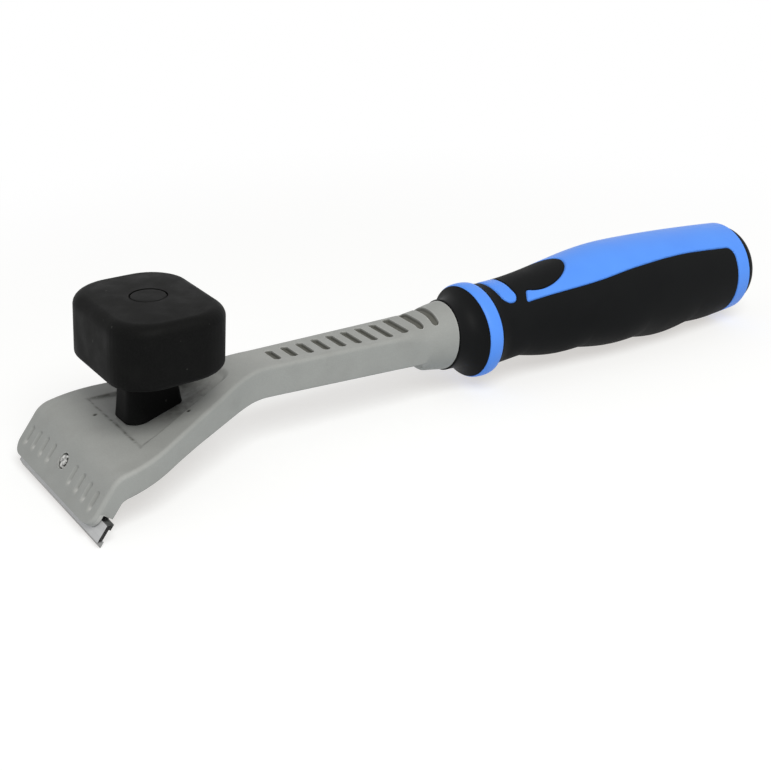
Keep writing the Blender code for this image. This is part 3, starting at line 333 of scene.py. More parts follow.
# Directions and places that follow from the sizes
PLATE_DOWN = Vector((-math.cos(PLATE_SLOPE), 0.0, -math.sin(PLATE_SLOPE)))
PLATE_BACK = Vector((math.sin(PLATE_SLOPE), 0.0, -math.cos(PLATE_SLOPE)))
BEND = Vector((BEND_X, 0.0, BEND_Z))
HALF_HEAD = HEAD_WIDTH / 2
BLADE_EDGE_DOWN = PLATE_LENGTH + BLADE_PROUD
BLADE_TOP_DOWN = BLADE_EDGE_DOWN - BLADE_WIDTH
SCREW_HOLE_RADIUS = SCREW_RADIUS + CLEARANCE
SCREW_BOSS_RADIUS = SCREW_HOLE_RADIUS + SCREW_BOSS_WALL
NOTCH_DOWN = BLADE_TOP_DOWN - CLEARANCE
SCREW_DOWN = NOTCH_DOWN - CLEARANCE - SCREW_BOSS_RADIUS
CLAMP_FOOT_DOWN = SCREW_DOWN - SCREW_BOSS_RADIUS - CLEARANCE
CLAMP_TOP_DOWN = CLAMP_FOOT_DOWN - CLAMP_FOOT
BLADE_FACE = PLATE_WALL + CLEARANCE
BLADE_BACK = BLADE_FACE + BLADE_THICKNESS
BLADE_FLOOR = BLADE_BACK - BLADE_GROOVE
SCREW_BOSS_BACK = PLATE_WALL + SCREW_BOSS_HEIGHT
CLAMP_FACE = max(BLADE_BACK, SCREW_BOSS_BACK) + CLEARANCE
CLAMP_BACK = CLAMP_FACE + CLAMP_THICKNESS
POCKET_FLOOR_FRONT = BEND_Z + HEAD_RISE * (POCKET_FRONT - BEND_X) - POCKET_DROP
POCKET_FLOOR_Z = POCKET_FLOOR_FRONT + POCKET_RISE * (KNOB_X - POCKET_FRONT)
KNOB_BASE = POCKET_FLOOR_Z + CLEARANCE
KNOB_UNDER = KNOB_BASE + POST_HEIGHT
KNOB_TOP = KNOB_UNDER + KNOB_HEIGHT
BOLT_SEAT_Z = KNOB_BASE + BOLT_SEAT
NUT_SEAT_Z = POCKET_FLOOR_Z - POCKET_FLOOR_WALL
REAR_BAND_X = BUTT_X - REAR_BAND


def tool_matrix():
    """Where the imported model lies, from the clamp screw's axis."""
    joint = next(j for j in frame["joints"] if j["name"] == "clamp_screw_turn")
    axis = Vector(joint["axis"])
    turn = math.atan2(-axis.z, axis.x) - math.atan2(-PLATE_BACK.z, PLATE_BACK.x)
    rotation = Matrix.Rotation(turn, 4, "Y")
    place = Vector(joint["pos_m"]) - rotation @ (BEND + PLATE_DOWN * SCREW_DOWN)
    return Matrix.Translation(place) @ rotation


TOOL = tool_matrix()
TOOL_FRAME = Matrix()
PLATE_AXES = Matrix((PLATE_DOWN, Vector((0, 1, 0)), PLATE_BACK)).transposed().to_4x4()
PLATE_FRAME = Matrix.Translation(BEND) @ PLATE_AXES
CLAMP_FRAME = PLATE_FRAME @ Matrix.Translation((SCREW_DOWN, 0, 0))
KNOB_FRAME = Matrix.Translation((KNOB_X, 0, 0))
ALONG_HANDLE = Matrix.Rotation(math.pi / 2, 4, "Y")


# Shared forms

def ease(x, start, end):
    """Smooth step from 0 at start to 1 at end."""
    share = np.clip((np.asarray(x, float) - start) / (end - start), 0, 1)
    return share * share * (3 - 2 * share)


def rounded(x, points, reach):
    """Height at x of a line through points, with its corners rounded over reach each way."""
    places, heights = zip(*points)
    samples = np.asarray(x, float)[..., None] + reach * BEND_SAMPLES
    return np.interp(samples, places, heights).mean(axis=-1)


def rounded_inside(a, b, radius):
    """Depth inside two edges at once, with the corner between them rounded."""
    corner = radius - np.hypot(np.maximum(radius - a, 0), np.maximum(radius - b, 0))
    return np.where((a < radius) & (b < radius), corner, np.minimum(a, b))


def stations(*runs):
    """Places along several runs of (start, end, step), each start following the last end."""
    places = []
    for start, end, step in runs:
        places += list(np.linspace(start, end, max(2, round((end - start) / step) + 1)))[:-1]
    return np.array(places + [runs[-1][1]])


def tapered_arcs(front, rear, front_half, rear_half, front_corner, rear_corner):
    """Corner arcs of an outline that narrows to the rear, as (x, y, radius, start, end)."""
    front_x, front_y = front + front_corner, front_half - front_corner
    rear_x, rear_y = rear - rear_corner, rear_half - rear_corner
    run, spread = front_x - rear_x, front_y - rear_y
    turn = math.acos((rear_corner - front_corner) / math.hypot(run, spread))
    side = math.atan2(spread, run) - turn
    return (
        (rear_x, rear_y, rear_corner, 0, side),
        (front_x, front_y, front_corner, side, math.pi),
        (front_x, -front_y, front_corner, math.pi, math.tau - side),
        (rear_x, -rear_y, rear_corner, math.tau - side, math.tau),
    )


def arc_points(arcs, steps):
    points = []
    for x, y, radius, start, end in arcs:
        angles = np.linspace(start, end, steps + 1)
        points += list(zip(x + radius * np.cos(angles), y + radius * np.sin(angles)))
    return np.array(points)


def corner_arcs(half_width, half_height, top, bottom):
    """Corner arcs of a rounded rectangle, from the right side round over the top."""
    limit = LARGEST_CORNER_SHARE * min(half_width, half_height)
    top, bottom = min(top, limit), min(bottom, limit)
    up, down = math.pi / 2, 3 * math.pi / 2
    return (
        (half_width - top, half_height - top, top, 0, up),
        (top - half_width, half_height - top, top, up, math.pi),
        (bottom - half_width, bottom - half_height, bottom, math.pi, down),
        (half_width - bottom, bottom - half_height, bottom, down, math.tau),
    )


def quarter(count):
    """Points of a quarter circle that runs from (0, 1) to (1, 0) and bulges towards (0, 0)."""
    for angle in np.linspace(0, math.pi / 2, count):
        yield 1 - math.cos(angle), 1 - math.sin(angle)


def mirrored(points):
    """Half an outline, followed by its mirror image on the way back."""
    return points + [(x, -y) for x, y in reversed(points)]


def resampled(points, count):
    """A line of points spaced evenly along its length."""
    steps = np.hypot(*np.diff(points, axis=0).T)
    length = np.concatenate(([0], np.cumsum(steps)))
    places = np.linspace(0, length[-1], count)
    return np.stack([np.interp(places, length, points[:, i]) for i in range(2)], axis=1)


def points_between(start, end, count):
    return np.linspace(start, end, count + 2)[1:-1]


def section_points(half_width, half_height, top, bottom):
    """Rounded rectangle as (across, up) points, finer over the top than below."""
    arcs = corner_arcs(half_width, half_height, top, bottom)
    upper = resampled(arc_points(arcs[:2], CORNER_POINTS), UPPER_POINTS)
    left, right = (arc_points([arc], CORNER_POINTS) for arc in arcs[2:])
    left_side = points_between(upper[-1], left[0], SIDE_POINTS)
    bottom_flat = points_between(left[-1], right[0], FLAT_POINTS)
    right_side = points_between(right[-1], upper[0], SIDE_POINTS)
    return np.vstack((upper, left_side, left, bottom_flat, right, right_side))


def moved(points, matrix):
    """Points moved by a matrix."""
    turn = np.array(matrix)
    return points @ turn[:3, :3].T + turn[:3, 3]


def shade(mesh, angle=SHARP_ANGLE):
    mesh.shade_smooth()
    mesh.set_sharp_from_angle(angle=angle)


def add_object(name, data):
    added = bpy.data.objects.new(name, data)
    bpy.context.scene.collection.objects.link(added)
    return added


def loft(name, rings, matrix=TOOL_FRAME, open_loop=False):
    """Closed skin through rings of points in the tool's frame; an open loop joins last ring to first."""
    rings = np.asarray(rings, float)
    ring_count, count, _ = rings.shape
    index = np.arange(ring_count * count).reshape(ring_count, count)
    rows = np.vstack((index, index[:1])) if open_loop else index
    near, far = rows[:-1], rows[1:]
    quads = np.stack((near, np.roll(near, -1, 1), np.roll(far, -1, 1), far), axis=-1).reshape(-1, 4)
    faces = quads.tolist()
    if not open_loop:
        faces += [index[0].tolist(), index[-1].tolist()]
    mesh = bpy.data.meshes.new(name)
    mesh.from_pydata(moved(rings.reshape(-1, 3), TOOL @ matrix).tolist(), [], faces)
    shape = bmesh.new()
    shape.from_mesh(mesh)
    bmesh.ops.remove_doubles(shape, verts=shape.verts, dist=MERGE_DISTANCE)
    bmesh.ops.recalc_face_normals(shape, faces=shape.faces)
    shape.to_mesh(mesh)
    shape.free()
    shade(mesh)
    return add_object(name, mesh)


def turned(name, profile, matrix):
    """Shape turned about Z from (radius, height) points that start and end near the axis."""
    angles = np.linspace(0, math.tau, ROUND_POINTS, endpoint=False)
    rings = [[(r * math.cos(a), r * math.sin(a), h) for a in angles] for r, h in profile]
    return loft(name, rings, matrix)


def prism(name, outline, low, high, matrix):
    """Outline in X and Y, extruded from low to high."""
    rings = [[(x, y, height) for x, y in outline] for height in (low, high)]
    return loft(name, rings, matrix)


def cylinder(name, radius, low, high, matrix, points=ROUND_POINTS):
    angles = np.linspace(0, math.tau, points, endpoint=False)
    outline = [(radius * math.cos(a), radius * math.sin(a)) for a in angles]
    return prism(name, outline, low, high, matrix)


def settle(piece):
    """Applies a piece's modifiers to its mesh."""
    graph = bpy.context.evaluated_depsgraph_get()
    mesh = bpy.data.meshes.new_from_object(piece.evaluated_get(graph))
    piece.modifiers.clear()
    piece.data = mesh
    return piece


def cut(piece, *cutters):
    """Takes cutters away from a piece and removes them."""
    for cutter in cutters:
        change = piece.modifiers.new(cutter.name, "BOOLEAN")
        change.operation = "DIFFERENCE"
        change.solver = "EXACT"
        change.object = cutter
    settle(piece)
    for cutter in cutters:
        bpy.data.objects.remove(cutter, do_unlink=True)
    shade(piece.data)
    return piece


def soften(piece, width):
    """Rounds the sharp edges of a plain shape."""
    change = piece.modifiers.new("soft_edges", "BEVEL")
    change.width = width
    change.segments = SOFTEN_POINTS
    change.limit_method = "ANGLE"
    change.angle_limit = SOFTEN_ANGLE
    settle(piece)
    shade(piece.data, SOFT_SHARP_ANGLE)
    return piece


# Head casting

def head_half_width(x):
    points = (
        (BEND_X - HALF_HEAD, HALF_HEAD),
        (SHOULDER_START, HALF_HEAD),
        (NECK_START, NECK_FRONT_WIDTH / 2),
        (BOSS_START, NECK_REAR_WIDTH / 2),
    )
    return rounded(x, points, SHOULDER_REACH)


def head_top(x):
    neck_top = BEND_Z + HEAD_RISE * (NECK_TOP_START - BEND_X)
    front = BEND_X - HALF_HEAD
    points = (
        (front, BEND_Z + HEAD_RISE * (front - BEND_X)),
        (NECK_TOP_START, neck_top),
        (BOSS_START, neck_top - NECK_FALL),
    )
    return rounded(x, points, SHOULDER_REACH / 2)


def head_depth(x):
    points = (
        (KNOB_X, HEAD_SIDE_DEPTH),
        (NECK_START, NECK_FRONT_DEPTH),
        (BOSS_START, NECK_REAR_DEPTH),
    )
    return rounded(x, points, SHOULDER_REACH)


def ring_between(outer, inner, half_width, top, bottom):
    """Section that stands between a point on the outer line and one on the inner line."""
    outer, inner = np.array(outer), np.array(inner)
    middle, up = (outer + inner) / 2, (outer - inner) / 2
    half_height = np.linalg.norm(up)
    points = section_points(half_width, half_height, top, bottom)
    across = np.array((0.0, 1.0, 0.0))
    return middle + points[:, 1:] * up / half_height + points[:, :1] * across


def around_corner(corner, before, after, distance, reach):
    """Point at a distance past the corner of two straight runs, rounded over reach each way."""
    places = distance + reach * BEND_SAMPLES
    total = Vector((0, 0, 0))
    for place in places:
        total += corner + (after if place > 0 else before) * place
    return total / len(places)


def plate_rings():
    """Sections up the front plate and round the bend."""
    slope, rise = PLATE_SLOPE, HEAD_RISE
    lean = math.cos(slope) + rise * math.sin(slope)
    inner_down = (HEAD_SIDE_DEPTH - PLATE_SIDE_DEPTH * lean) / (math.sin(slope) - rise * math.cos(slope))
    inner_corner = BEND + PLATE_DOWN * inner_down + PLATE_BACK * PLATE_SIDE_DEPTH
    along_top = Vector((1, 0, rise)).normalized()
    past_bend = (inner_corner.x - BEND_X) / along_top.x
    spread = BEND_REACH / 3
    outer_places = (-PLATE_LENGTH, -inner_down - spread, past_bend + spread)
    inner_places = (inner_down - PLATE_LENGTH, -spread, spread)
    places = [PLATE_CORNER * up - PLATE_LENGTH for up, _ in quarter(PLATE_CORNER_POINTS)]
    places += list(np.arange(places[-1] + PLATE_STEP, past_bend + spread, PLATE_STEP))
    rings = []
    for place in places:
        outer = around_corner(BEND, -PLATE_DOWN, along_top, place, BEND_REACH)
        inner_place = np.interp(place, outer_places, inner_places)
        inner = around_corner(inner_corner, -PLATE_DOWN, along_top, inner_place, spread)
        past_corner = max(0, -place - (PLATE_LENGTH - PLATE_CORNER))
        narrowing = PLATE_CORNER - math.sqrt(max(0, PLATE_CORNER ** 2 - past_corner ** 2))
        rings.append(ring_between(outer, inner, HALF_HEAD - narrowing, EDGE_RADIUS, EDGE_RADIUS / 3))
    return rings


def leaned(ring, share=1.0):
    """Ring turned to lean back like the end of the boss, or by a share of that."""
    ring = np.array(ring, float)
    ring[:, 0] += share * BOSS_LEAN * ring[:, 2]
    return ring


def neck_ring(x):
    """Section of the head, neck or boss."""
    step = (BOSS_END - BOSS_START) / 4
    swell = ease(x, BOSS_START - 4 * step, BOSS_END - step)
    drop = ease(x, BOSS_START - step / 2, BOSS_START + step)
    radius = np.interp(x, (BOSS_START, BOSS_END), (BOSS_FRONT_RADIUS, BOSS_RADIUS))
    height = head_top(x)
    top = (1 - swell) * height + swell * radius
    bottom = (1 - drop) * (height - head_depth(x)) - drop * radius
    half_width = (1 - swell) * head_half_width(x) + swell * radius
    top_corner = (1 - swell) * EDGE_RADIUS + swell * radius
    bottom_corner = (1 - drop) * EDGE_RADIUS / 2 + drop * radius
    ring = ring_between((x, 0, top), (x, 0, bottom), half_width, top_corner, bottom_corner)
    return leaned(ring, ease(x, BOSS_START, BOSS_END))


def tang_ring(x):
    taper = 1 + (TANG_TAPER - 1) * (x - BOSS_END) / (TANG_END - BOSS_END)
    half_width, half_depth = TANG_WIDTH / 2 * taper, TANG_DEPTH / 2 * taper
    corner = half_depth / 2
    return ring_between((x, 0, half_depth), (x, 0, -half_depth), half_width, corner, corner)


def bar_depth(past_end, beside, width, depth, soft):
    """Depth of a round-ended bar, by how far a point lies past its straight part and beside it."""
    outside = np.hypot(beside, np.maximum(past_end, 0)) - width / 2
    return depth * ease(-outside, -soft, soft)


def slot_depth(x, y):
    """Depth of the sunk bars across the neck."""
    depth = np.zeros_like(x)
    for i, length in enumerate(np.linspace(SLOT_FRONT_LENGTH, SLOT_REAR_LENGTH, SLOT_COUNT)):
        past_end = np.abs(y) - (length - SLOT_WIDTH) / 2
        beside = x - (SLOT_FIRST + i * SLOT_PITCH)
        depth = np.maximum(depth, bar_depth(past_end, beside, SLOT_WIDTH, SLOT_DEPTH, SLOT_SOFT))
    return depth


def pocket_inside(x, y):
    """Distance inside the outline of the pocket that the knob stands in."""
    halves = POCKET_WIDTH / 2, POCKET_REAR_WIDTH / 2
    arcs = tapered_arcs(POCKET_FRONT, POCKET_REAR, *halves, POCKET_CORNER, POCKET_REAR_CORNER)
    rear_x, rear_y, radius, _, side = arcs[0]
    dx, dy = x - rear_x, np.abs(y) - rear_y
    beside = dx * math.cos(side) + dy * math.sin(side) - radius
    behind = np.hypot(dx, np.maximum(dy, 0)) - radius
    outside = np.where(np.arctan2(np.maximum(dy, 0), dx) < side, behind, beside)
    return np.minimum(-outside, x - POCKET_FRONT)


def pocket_depth(x, y):
    floor = POCKET_FLOOR_FRONT + POCKET_RISE * (x - POCKET_FRONT)
    dished = ease(x, POCKET_DISH_START, POCKET_REAR)
    full = np.maximum(head_top(x) - floor, 0) * (1 - POCKET_DISH * dished)
    soft = POCKET_SOFT + (POCKET_REAR_SOFT - POCKET_SOFT) * dished
    return full * ease(pocket_inside(x, y), -POCKET_SOFT / 2, soft)


def pit_depth(x, y):
    depth = np.zeros_like(x)
    for pit_x, pit_y, radius in PITS:
        depth += PIT_DEPTH * np.exp(-((x - pit_x) ** 2 + (y - pit_y) ** 2) / radius ** 2)
    return depth


def groove_places():
    """Place across and lower end of each groove on one side, the ends on a slight arc."""
    for i in range(GROOVE_COUNT):
        share = i / (GROOVE_COUNT - 1)
        yield GROOVE_FIRST + i * GROOVE_PITCH, GROOVE_END + GROOVE_DROP * share ** 2


def groove_depth(down, across):
    """Depth of the shallow grooves up the front plate."""
    depth = np.zeros_like(down)
    for place, end in groove_places():
        past_end = np.abs(down - end + GROOVE_LENGTH / 2) - (GROOVE_LENGTH - GROOVE_WIDTH) / 2
        beside = np.abs(across) - place
        depth = np.maximum(depth, bar_depth(past_end, beside, GROOVE_WIDTH, GROOVE_DEPTH, GROOVE_SOFT))
    return depth


def on_plate(points):
    """How far points lie down the front plate and behind its face."""
    offset = points - np.array(BEND)
    return offset @ np.array(PLATE_DOWN), offset @ np.array(PLATE_BACK)


def casting_rings():
    rings = plate_rings()
    start = rings[-1][0][0] + HEAD_STEP
    slots_start = SLOT_FIRST - SLOT_PITCH
    slots_end = SLOT_FIRST + SLOT_PITCH * SLOT_COUNT
    places = stations(
        (start, slots_start, HEAD_STEP),
        (slots_start, slots_end, SLOT_STEP),
        (slots_end, BOSS_END, SLOT_STEP),
    )
    rings += [neck_ring(x) for x in places]
    rings = np.array(rings)
    upper = rings[:, :UPPER_POINTS]
    x, y = upper[..., 0].copy(), upper[..., 1].copy()
    upper[..., 2] -= slot_depth(x, y) + pocket_depth(x, y) + pit_depth(x, y)
    down, _ = on_plate(upper)
    upper += groove_depth(down, y)[..., None] * np.array(PLATE_BACK)
    ends = np.array([leaned(tang_ring(BOSS_END)), tang_ring(TANG_END)])
    return np.concatenate((rings, ends))


def clamp_space():
    """Room behind the front plate for the clamp, with the thread boss left standing."""
    inside, end = HALF_HEAD - SIDE_WALL, PLATE_LENGTH * 2
    top = CLAMP_TOP_DOWN - CLEARANCE
    side = [(top, inside), (NOTCH_DOWN, inside), (NOTCH_DOWN, HEAD_WIDTH), (end, HEAD_WIDTH)]
    space = prism("clamp_space", mirrored(side), PLATE_WALL, PLATE_SIDE_DEPTH * 3, PLATE_FRAME)
    boss = cylinder("thread_boss", SCREW_BOSS_RADIUS, -PLATE_WALL, SCREW_BOSS_BACK, CLAMP_FRAME)
    return cut(space, boss)


def head_hollow():
    """Pan under the head, with a middle rib and a boss for the knob's nut."""
    places = np.linspace(HOLLOW_FRONT, HOLLOW_REAR, HOLLOW_POINTS)
    half = head_half_width(places) - SIDE_WALL
    outline = mirrored(list(zip(places - POCKET_FRONT, half)))
    tilt = Matrix.Rotation(-math.atan(POCKET_RISE), 4, "Y")
    place = Matrix.Translation((POCKET_FRONT, 0, POCKET_FLOOR_FRONT)) @ tilt
    hollow = prism("head_hollow", outline, -KNOB_HEIGHT, -POCKET_FLOOR_WALL, place)
    rib = mirrored([(POCKET_FRONT, -RIB_WIDTH / 2), (NECK_START, -RIB_WIDTH / 2)])
    ribs = prism("hollow_rib", rib, -HEAD_WIDTH, HEAD_WIDTH, TOOL_FRAME)
    boss = cylinder("nut_boss", NUT_BOSS_RADIUS, -HEAD_WIDTH, HEAD_WIDTH, KNOB_FRAME)
    return cut(hollow, ribs, boss)


def glint_spots(down, across):
    """1 at the lower end of each groove, where a glint is painted bright on the coating."""
    glint = np.zeros_like(down)
    for place, end in groove_places():
        apart = np.hypot(down - end + GROOVE_WIDTH / 2, np.abs(across) - place)
        glint = np.maximum(glint, np.exp(-(apart / GLINT_RADIUS) ** 2))
    return glint


def mark_recesses(casting):
    """Stores on each point its painted shade in recesses, its painted shade and dirt round the pocket, and
    its painted glint at the grooves' lower ends.
    """
    mesh = casting.data
    points = np.empty(len(mesh.vertices) * 3)
    mesh.vertices.foreach_get("co", points)
    points = moved(points.reshape(-1, 3), TOOL.inverted())
    x, y, z = points.T
    down, behind = on_plate(points)
    on_top = z > head_top(x) - pocket_depth(x, y) - 2 * SLOT_DEPTH
    on_face = behind < 2 * GROOVE_DEPTH
    # Painted shade in the slots, pits and grooves
    recess_shade = ease(slot_depth(x, y) / SLOT_DEPTH, SLOT_SHADE_START, SLOT_SHADE_END)
    recess_shade = on_top * np.maximum(recess_shade, PIT_SHADE * pit_depth(x, y) / PIT_DEPTH)
    recess_shade = np.maximum(recess_shade, on_face * GROOVE_SHADE * groove_depth(down, y) / GROOVE_DEPTH)
    # Painted shade mixed with dirt along the pocket's edge, and painted shade round the post under the
    # knob
    inside = pocket_inside(x, y)
    crease = np.exp(-(inside / CREASE_WIDTH) ** 2) * (1 - ease(x, POCKET_FRONT, POCKET_DISH_START))
    from_post = np.maximum(np.hypot(x - KNOB_X - POST_REAR, y) - POST_FRONT_WIDTH / 2, 0)
    post_shade = POST_SHADE * np.exp(-(from_post / POST_SHADE_REACH) ** 2) * (inside > 0)
    shade_and_dirt = on_top * np.maximum(crease, post_shade)
    # Painted glints at the grooves' lower ends
    glint = on_face * glint_spots(down, y)
    for name, numbers in (("recess_shade", recess_shade), ("shade_and_dirt", shade_and_dirt), ("glint", glint)):
        mesh.attributes.new(name, "FLOAT", "POINT").data.foreach_set("value", numbers.astype(np.float32))


def make_casting():
    casting = loft("casting_body", casting_rings())
    below = NUT_SEAT_Z - KNOB_HEIGHT
    thread = cylinder("thread_hole", SCREW_HOLE_RADIUS, -PLATE_WALL, PLATE_SIDE_DEPTH * 3, CLAMP_FRAME)
    bolt = cylinder("bolt_hole", BOLT_RADIUS + CLEARANCE, below, KNOB_TOP, KNOB_FRAME)
    flats = (NUT_FLATS + 2 * CLEARANCE) / math.sqrt(3)
    nut = cylinder("nut_pocket", flats, below, NUT_SEAT_Z, KNOB_FRAME, points=6)
    cut(casting, clamp_space(), thread, head_hollow(), bolt, nut)
    mark_recesses(casting)
    return casting


# Blade and clamp

def across_head(name, outline, half_length, matrix):
    """Section given down the plate and behind its face, run across the head."""
    return prism(name, outline, -half_length, half_length, matrix @ Matrix.Rotation(math.pi / 2, 4, "X"))


def make_blade():
    """Two ground edges on one strip, with a groove along its back."""
    width, lip, thick = BLADE_WIDTH, BLADE_LIP, BLADE_THICKNESS
    groove = thick - BLADE_GROOVE
    outline = [(BLADE_BEVEL, 0), (width - BLADE_BEVEL, 0), (width, thick), (width - lip, thick)]
    outline += [(width - lip, groove), (lip, groove), (lip, thick), (0, thick)]
    place = PLATE_FRAME @ Matrix.Translation((BLADE_TOP_DOWN, BLADE_OFFSET, BLADE_FACE))
    return soften(across_head("blade_strip", outline, BLADE_LENGTH / 2, place), BLADE_EDGE_SOFT)


def make_clamp_plate():
    rib_start = BLADE_TOP_DOWN + BLADE_LIP + CLEARANCE - SCREW_DOWN
    rib_end = BLADE_EDGE_DOWN - BLADE_LIP - CLEARANCE - SCREW_DOWN
    foot_start, foot_end = CLAMP_TOP_DOWN - SCREW_DOWN, CLAMP_FOOT_DOWN - SCREW_DOWN
    rib_face, foot_face = BLADE_FLOOR + CLEARANCE, PLATE_WALL + CLEARANCE
    outline = [(foot_start, foot_face), (foot_end, foot_face), (foot_end, CLAMP_FACE)]
    outline += [(rib_start, CLAMP_FACE), (rib_start, rib_face), (rib_end, rib_face)]
    outline += [(rib_end, CLAMP_BACK), (foot_start, CLAMP_BACK)]
    half = HALF_HEAD - SIDE_WALL - CLAMP_SIDE_GAP
    plate = soften(across_head("clamp_bar", outline, half, CLAMP_FRAME), CLAMP_EDGE_SOFT)
    return cut(plate, cylinder("clamp_hole", SCREW_HOLE_RADIUS, 0, 2 * CLAMP_BACK, CLAMP_FRAME))


# Knob

def raked(outline, height, rise):
    """Points at one height of the knob's axis, on a plane that rises to the rear."""
    return np.column_stack((outline, height + rise * outline[:, 0]))


def ring_outline(arcs):
    """Evenly resampled closed outline of four corner arcs, starting on the rear middle."""
    points = arc_points(arcs, CORNER_POINTS)
    start = (points[0] + points[-1]) / 2
    return resampled(np.vstack((start, points, start)), 4 * ROUND_POINTS + 1)[:-1]


def post_outline(flare):
    front, rear = POST_FRONT - flare, POST_REAR + flare
    halves = POST_FRONT_WIDTH / 2 + flare, POST_REAR_WIDTH / 2 + flare
    corners = POST_FRONT_CORNER + flare, POST_REAR_CORNER + flare
    return ring_outline(tapered_arcs(front, rear, *halves, *corners))


def post_rings():
    rings = []
    for share in np.linspace(0, 1, POST_POINTS):
        outline = post_outline(POST_FLARE * (1 - share) ** 2)
        rings.append(raked(outline, KNOB_BASE + share * POST_FLARE_HEIGHT, POCKET_RISE))
    rings.append(raked(post_outline(0), KNOB_UNDER, KNOB_UNDER_RISE))
    return rings


def knob_profile():
    """Inset and height of each ring of the knob, from its underside to the middle of its top."""
    profile = []
    for up, inset in quarter(KNOB_BOTTOM_POINTS):
        profile.append((KNOB_BOTTOM_EDGE * inset, KNOB_UNDER + KNOB_BOTTOM_EDGE * up))
    shoulder = KNOB_TOP - KNOB_CROWN - KNOB_TOP_EDGE
    profile += [(0, height) for height in np.linspace(profile[-1][1], shoulder, KNOB_SIDE_POINTS)[1:-1]]
    for inset, down in quarter(KNOB_EDGE_POINTS):
        profile.append((KNOB_TOP_EDGE * inset, KNOB_TOP - KNOB_CROWN - KNOB_TOP_EDGE * down))
    reach = min(KNOB_LENGTH, KNOB_WIDTH) / 2 - KNOB_TOP_EDGE
    for share in np.linspace(0, KNOB_CROWN_SHARE, KNOB_TOP_POINTS)[1:]:
        profile.append((KNOB_TOP_EDGE + share * reach, KNOB_TOP - KNOB_CROWN * (1 - share) ** 2))
    return profile


def knob_rings():
    rings = post_rings()
    for inset, height in knob_profile():
        corner = max(KNOB_CORNER - inset / 2, KNOB_CORNER / 2)
        halves = KNOB_LENGTH / 2 - inset, KNOB_WIDTH / 2 - inset
        outline = ring_outline(corner_arcs(*halves, corner, corner))
        below = KNOB_TOP - height
        outline[:, 0] -= KNOB_LEAN * below
        rings.append(raked(outline, height, KNOB_UNDER_RISE * below / KNOB_HEIGHT))
    return rings


def make_knob():
    knob = loft("knob_block", knob_rings(), KNOB_FRAME)
    above = KNOB_TOP + KNOB_HEIGHT
    seat = KNOB_TOP - PLUG_THICKNESS - CLEARANCE
    bores = (
        cylinder("plug_bore", PLUG_RADIUS + CLEARANCE, seat, above, KNOB_FRAME),
        cylinder("head_bore", BOLT_WASHER_RADIUS + CLEARANCE, BOLT_SEAT_Z, above, KNOB_FRAME),
        cylinder("shank_bore", BOLT_RADIUS + CLEARANCE, KNOB_BASE - KNOB_HEIGHT, above, KNOB_FRAME),
    )
    return cut(knob, *bores)


def make_plug():
    """Round plug with a softened rim, flush with the knob's top."""
    top, seat = KNOB_TOP - KNOB_CROWN / 8, KNOB_TOP - PLUG_THICKNESS
    profile = [(PLUG_RADIUS * NEAR_AXIS_SHARE, seat), (PLUG_RADIUS - PLUG_EDGE / 2, seat)]
    profile += [(PLUG_RADIUS, seat + PLUG_EDGE / 2)]
    for inset, down in quarter(PLUG_EDGE_POINTS):
        profile.append((PLUG_RADIUS - PLUG_EDGE * inset, top - PLUG_EDGE * down))
    profile += [(PLUG_RADIUS * share, top) for share in (0.6, 0.3, NEAR_AXIS_SHARE)]
    return turned("knob_disc", profile, KNOB_FRAME)


# Handle

def belly_radius(x):
    rise = 0.5 - 0.5 * np.cos(math.pi * np.clip((x - WAIST_X) / (BELLY_X - WAIST_X), 0, 1))
    fall = np.clip((x - BELLY_X) / (BUTT_X - BELLY_X), 0, 1) ** BUTT_FALL
    return WAIST_RADIUS + (BELLY_RADIUS - WAIST_RADIUS) * rise - (BELLY_RADIUS - BUTT_RADIUS) * fall


def handle_radius(x):
    """Radius along the ring, the hollow behind it and the belly."""
    edge = RING_RADIUS - RING_EDGE_RADIUS
    middle = -RING_LENGTH / 2
    bulge = np.clip(np.abs(x - middle) / (RING_LENGTH / 2), 0, 1)
    ring = RING_EDGE_RADIUS + edge * np.sqrt(1 - bulge ** 2)
    fall = WAIST_RADIUS + (RING_EDGE_RADIUS - WAIST_RADIUS) * (1 - np.clip(x / WAIST_X, 0, 1)) ** 2
    return np.where(x <= 0, ring, np.maximum(fall, belly_radius(x)))


def ring_top(x):
    shares = (1.0, RING_TOP_SHARE, RING_TOP_SHARE, 1.0)
    return np.interp(x, (BOSS_END, -RING_LENGTH, 0, WAIST_X), shares)


def handle_dip(x):
    """How far the underside dips: finger waves and a flatter middle."""
    in_grip = ease(x, 0, WAIST_X) * (1 - ease(x, REAR_BAND_X - FINGER_PITCH / 3, REAR_BAND_X))
    wave = 1 - np.abs(np.sin(math.pi * (x - FINGER_FIRST) / FINGER_PITCH))
    flat = np.exp(-((x - UNDERSIDE_FLAT_X) / UNDERSIDE_REACH) ** 2)
    return in_grip * (FINGER_DEPTH * wave + UNDERSIDE_FLAT * flat)


def handle_angles():
    """Angles round the handle, finer over the top."""
    side = HANDLE_TOP_START
    top = np.linspace(side, math.pi - side, HANDLE_TOP_POINTS)
    low = np.linspace(math.pi - side, math.tau + side, HANDLE_LOW_POINTS + 2)[1:-1]
    return np.concatenate((top, low))


def handle_points(x, radius, top, angles):
    """Rings of the handle at places x, the underside dipped and the upper half lowered to a share."""
    x, radius, top = (np.asarray(v, float)[:, None] for v in (x, radius, top))
    up = np.sin(angles)[None, :]
    reach = radius - handle_dip(x) * np.maximum(0, -up) ** FINGER_SPREAD
    z = reach * up * np.where(up > 0, top, 1)
    return np.stack((np.broadcast_to(x, z.shape), reach * np.cos(angles), z), axis=-1)


def handle_surface(x, inset=0.0):
    """Rings of the handle's outer surface at places x, or of one that lies inset below it."""
    return handle_points(x, handle_radius(x) - inset, ring_top(x), handle_angles())


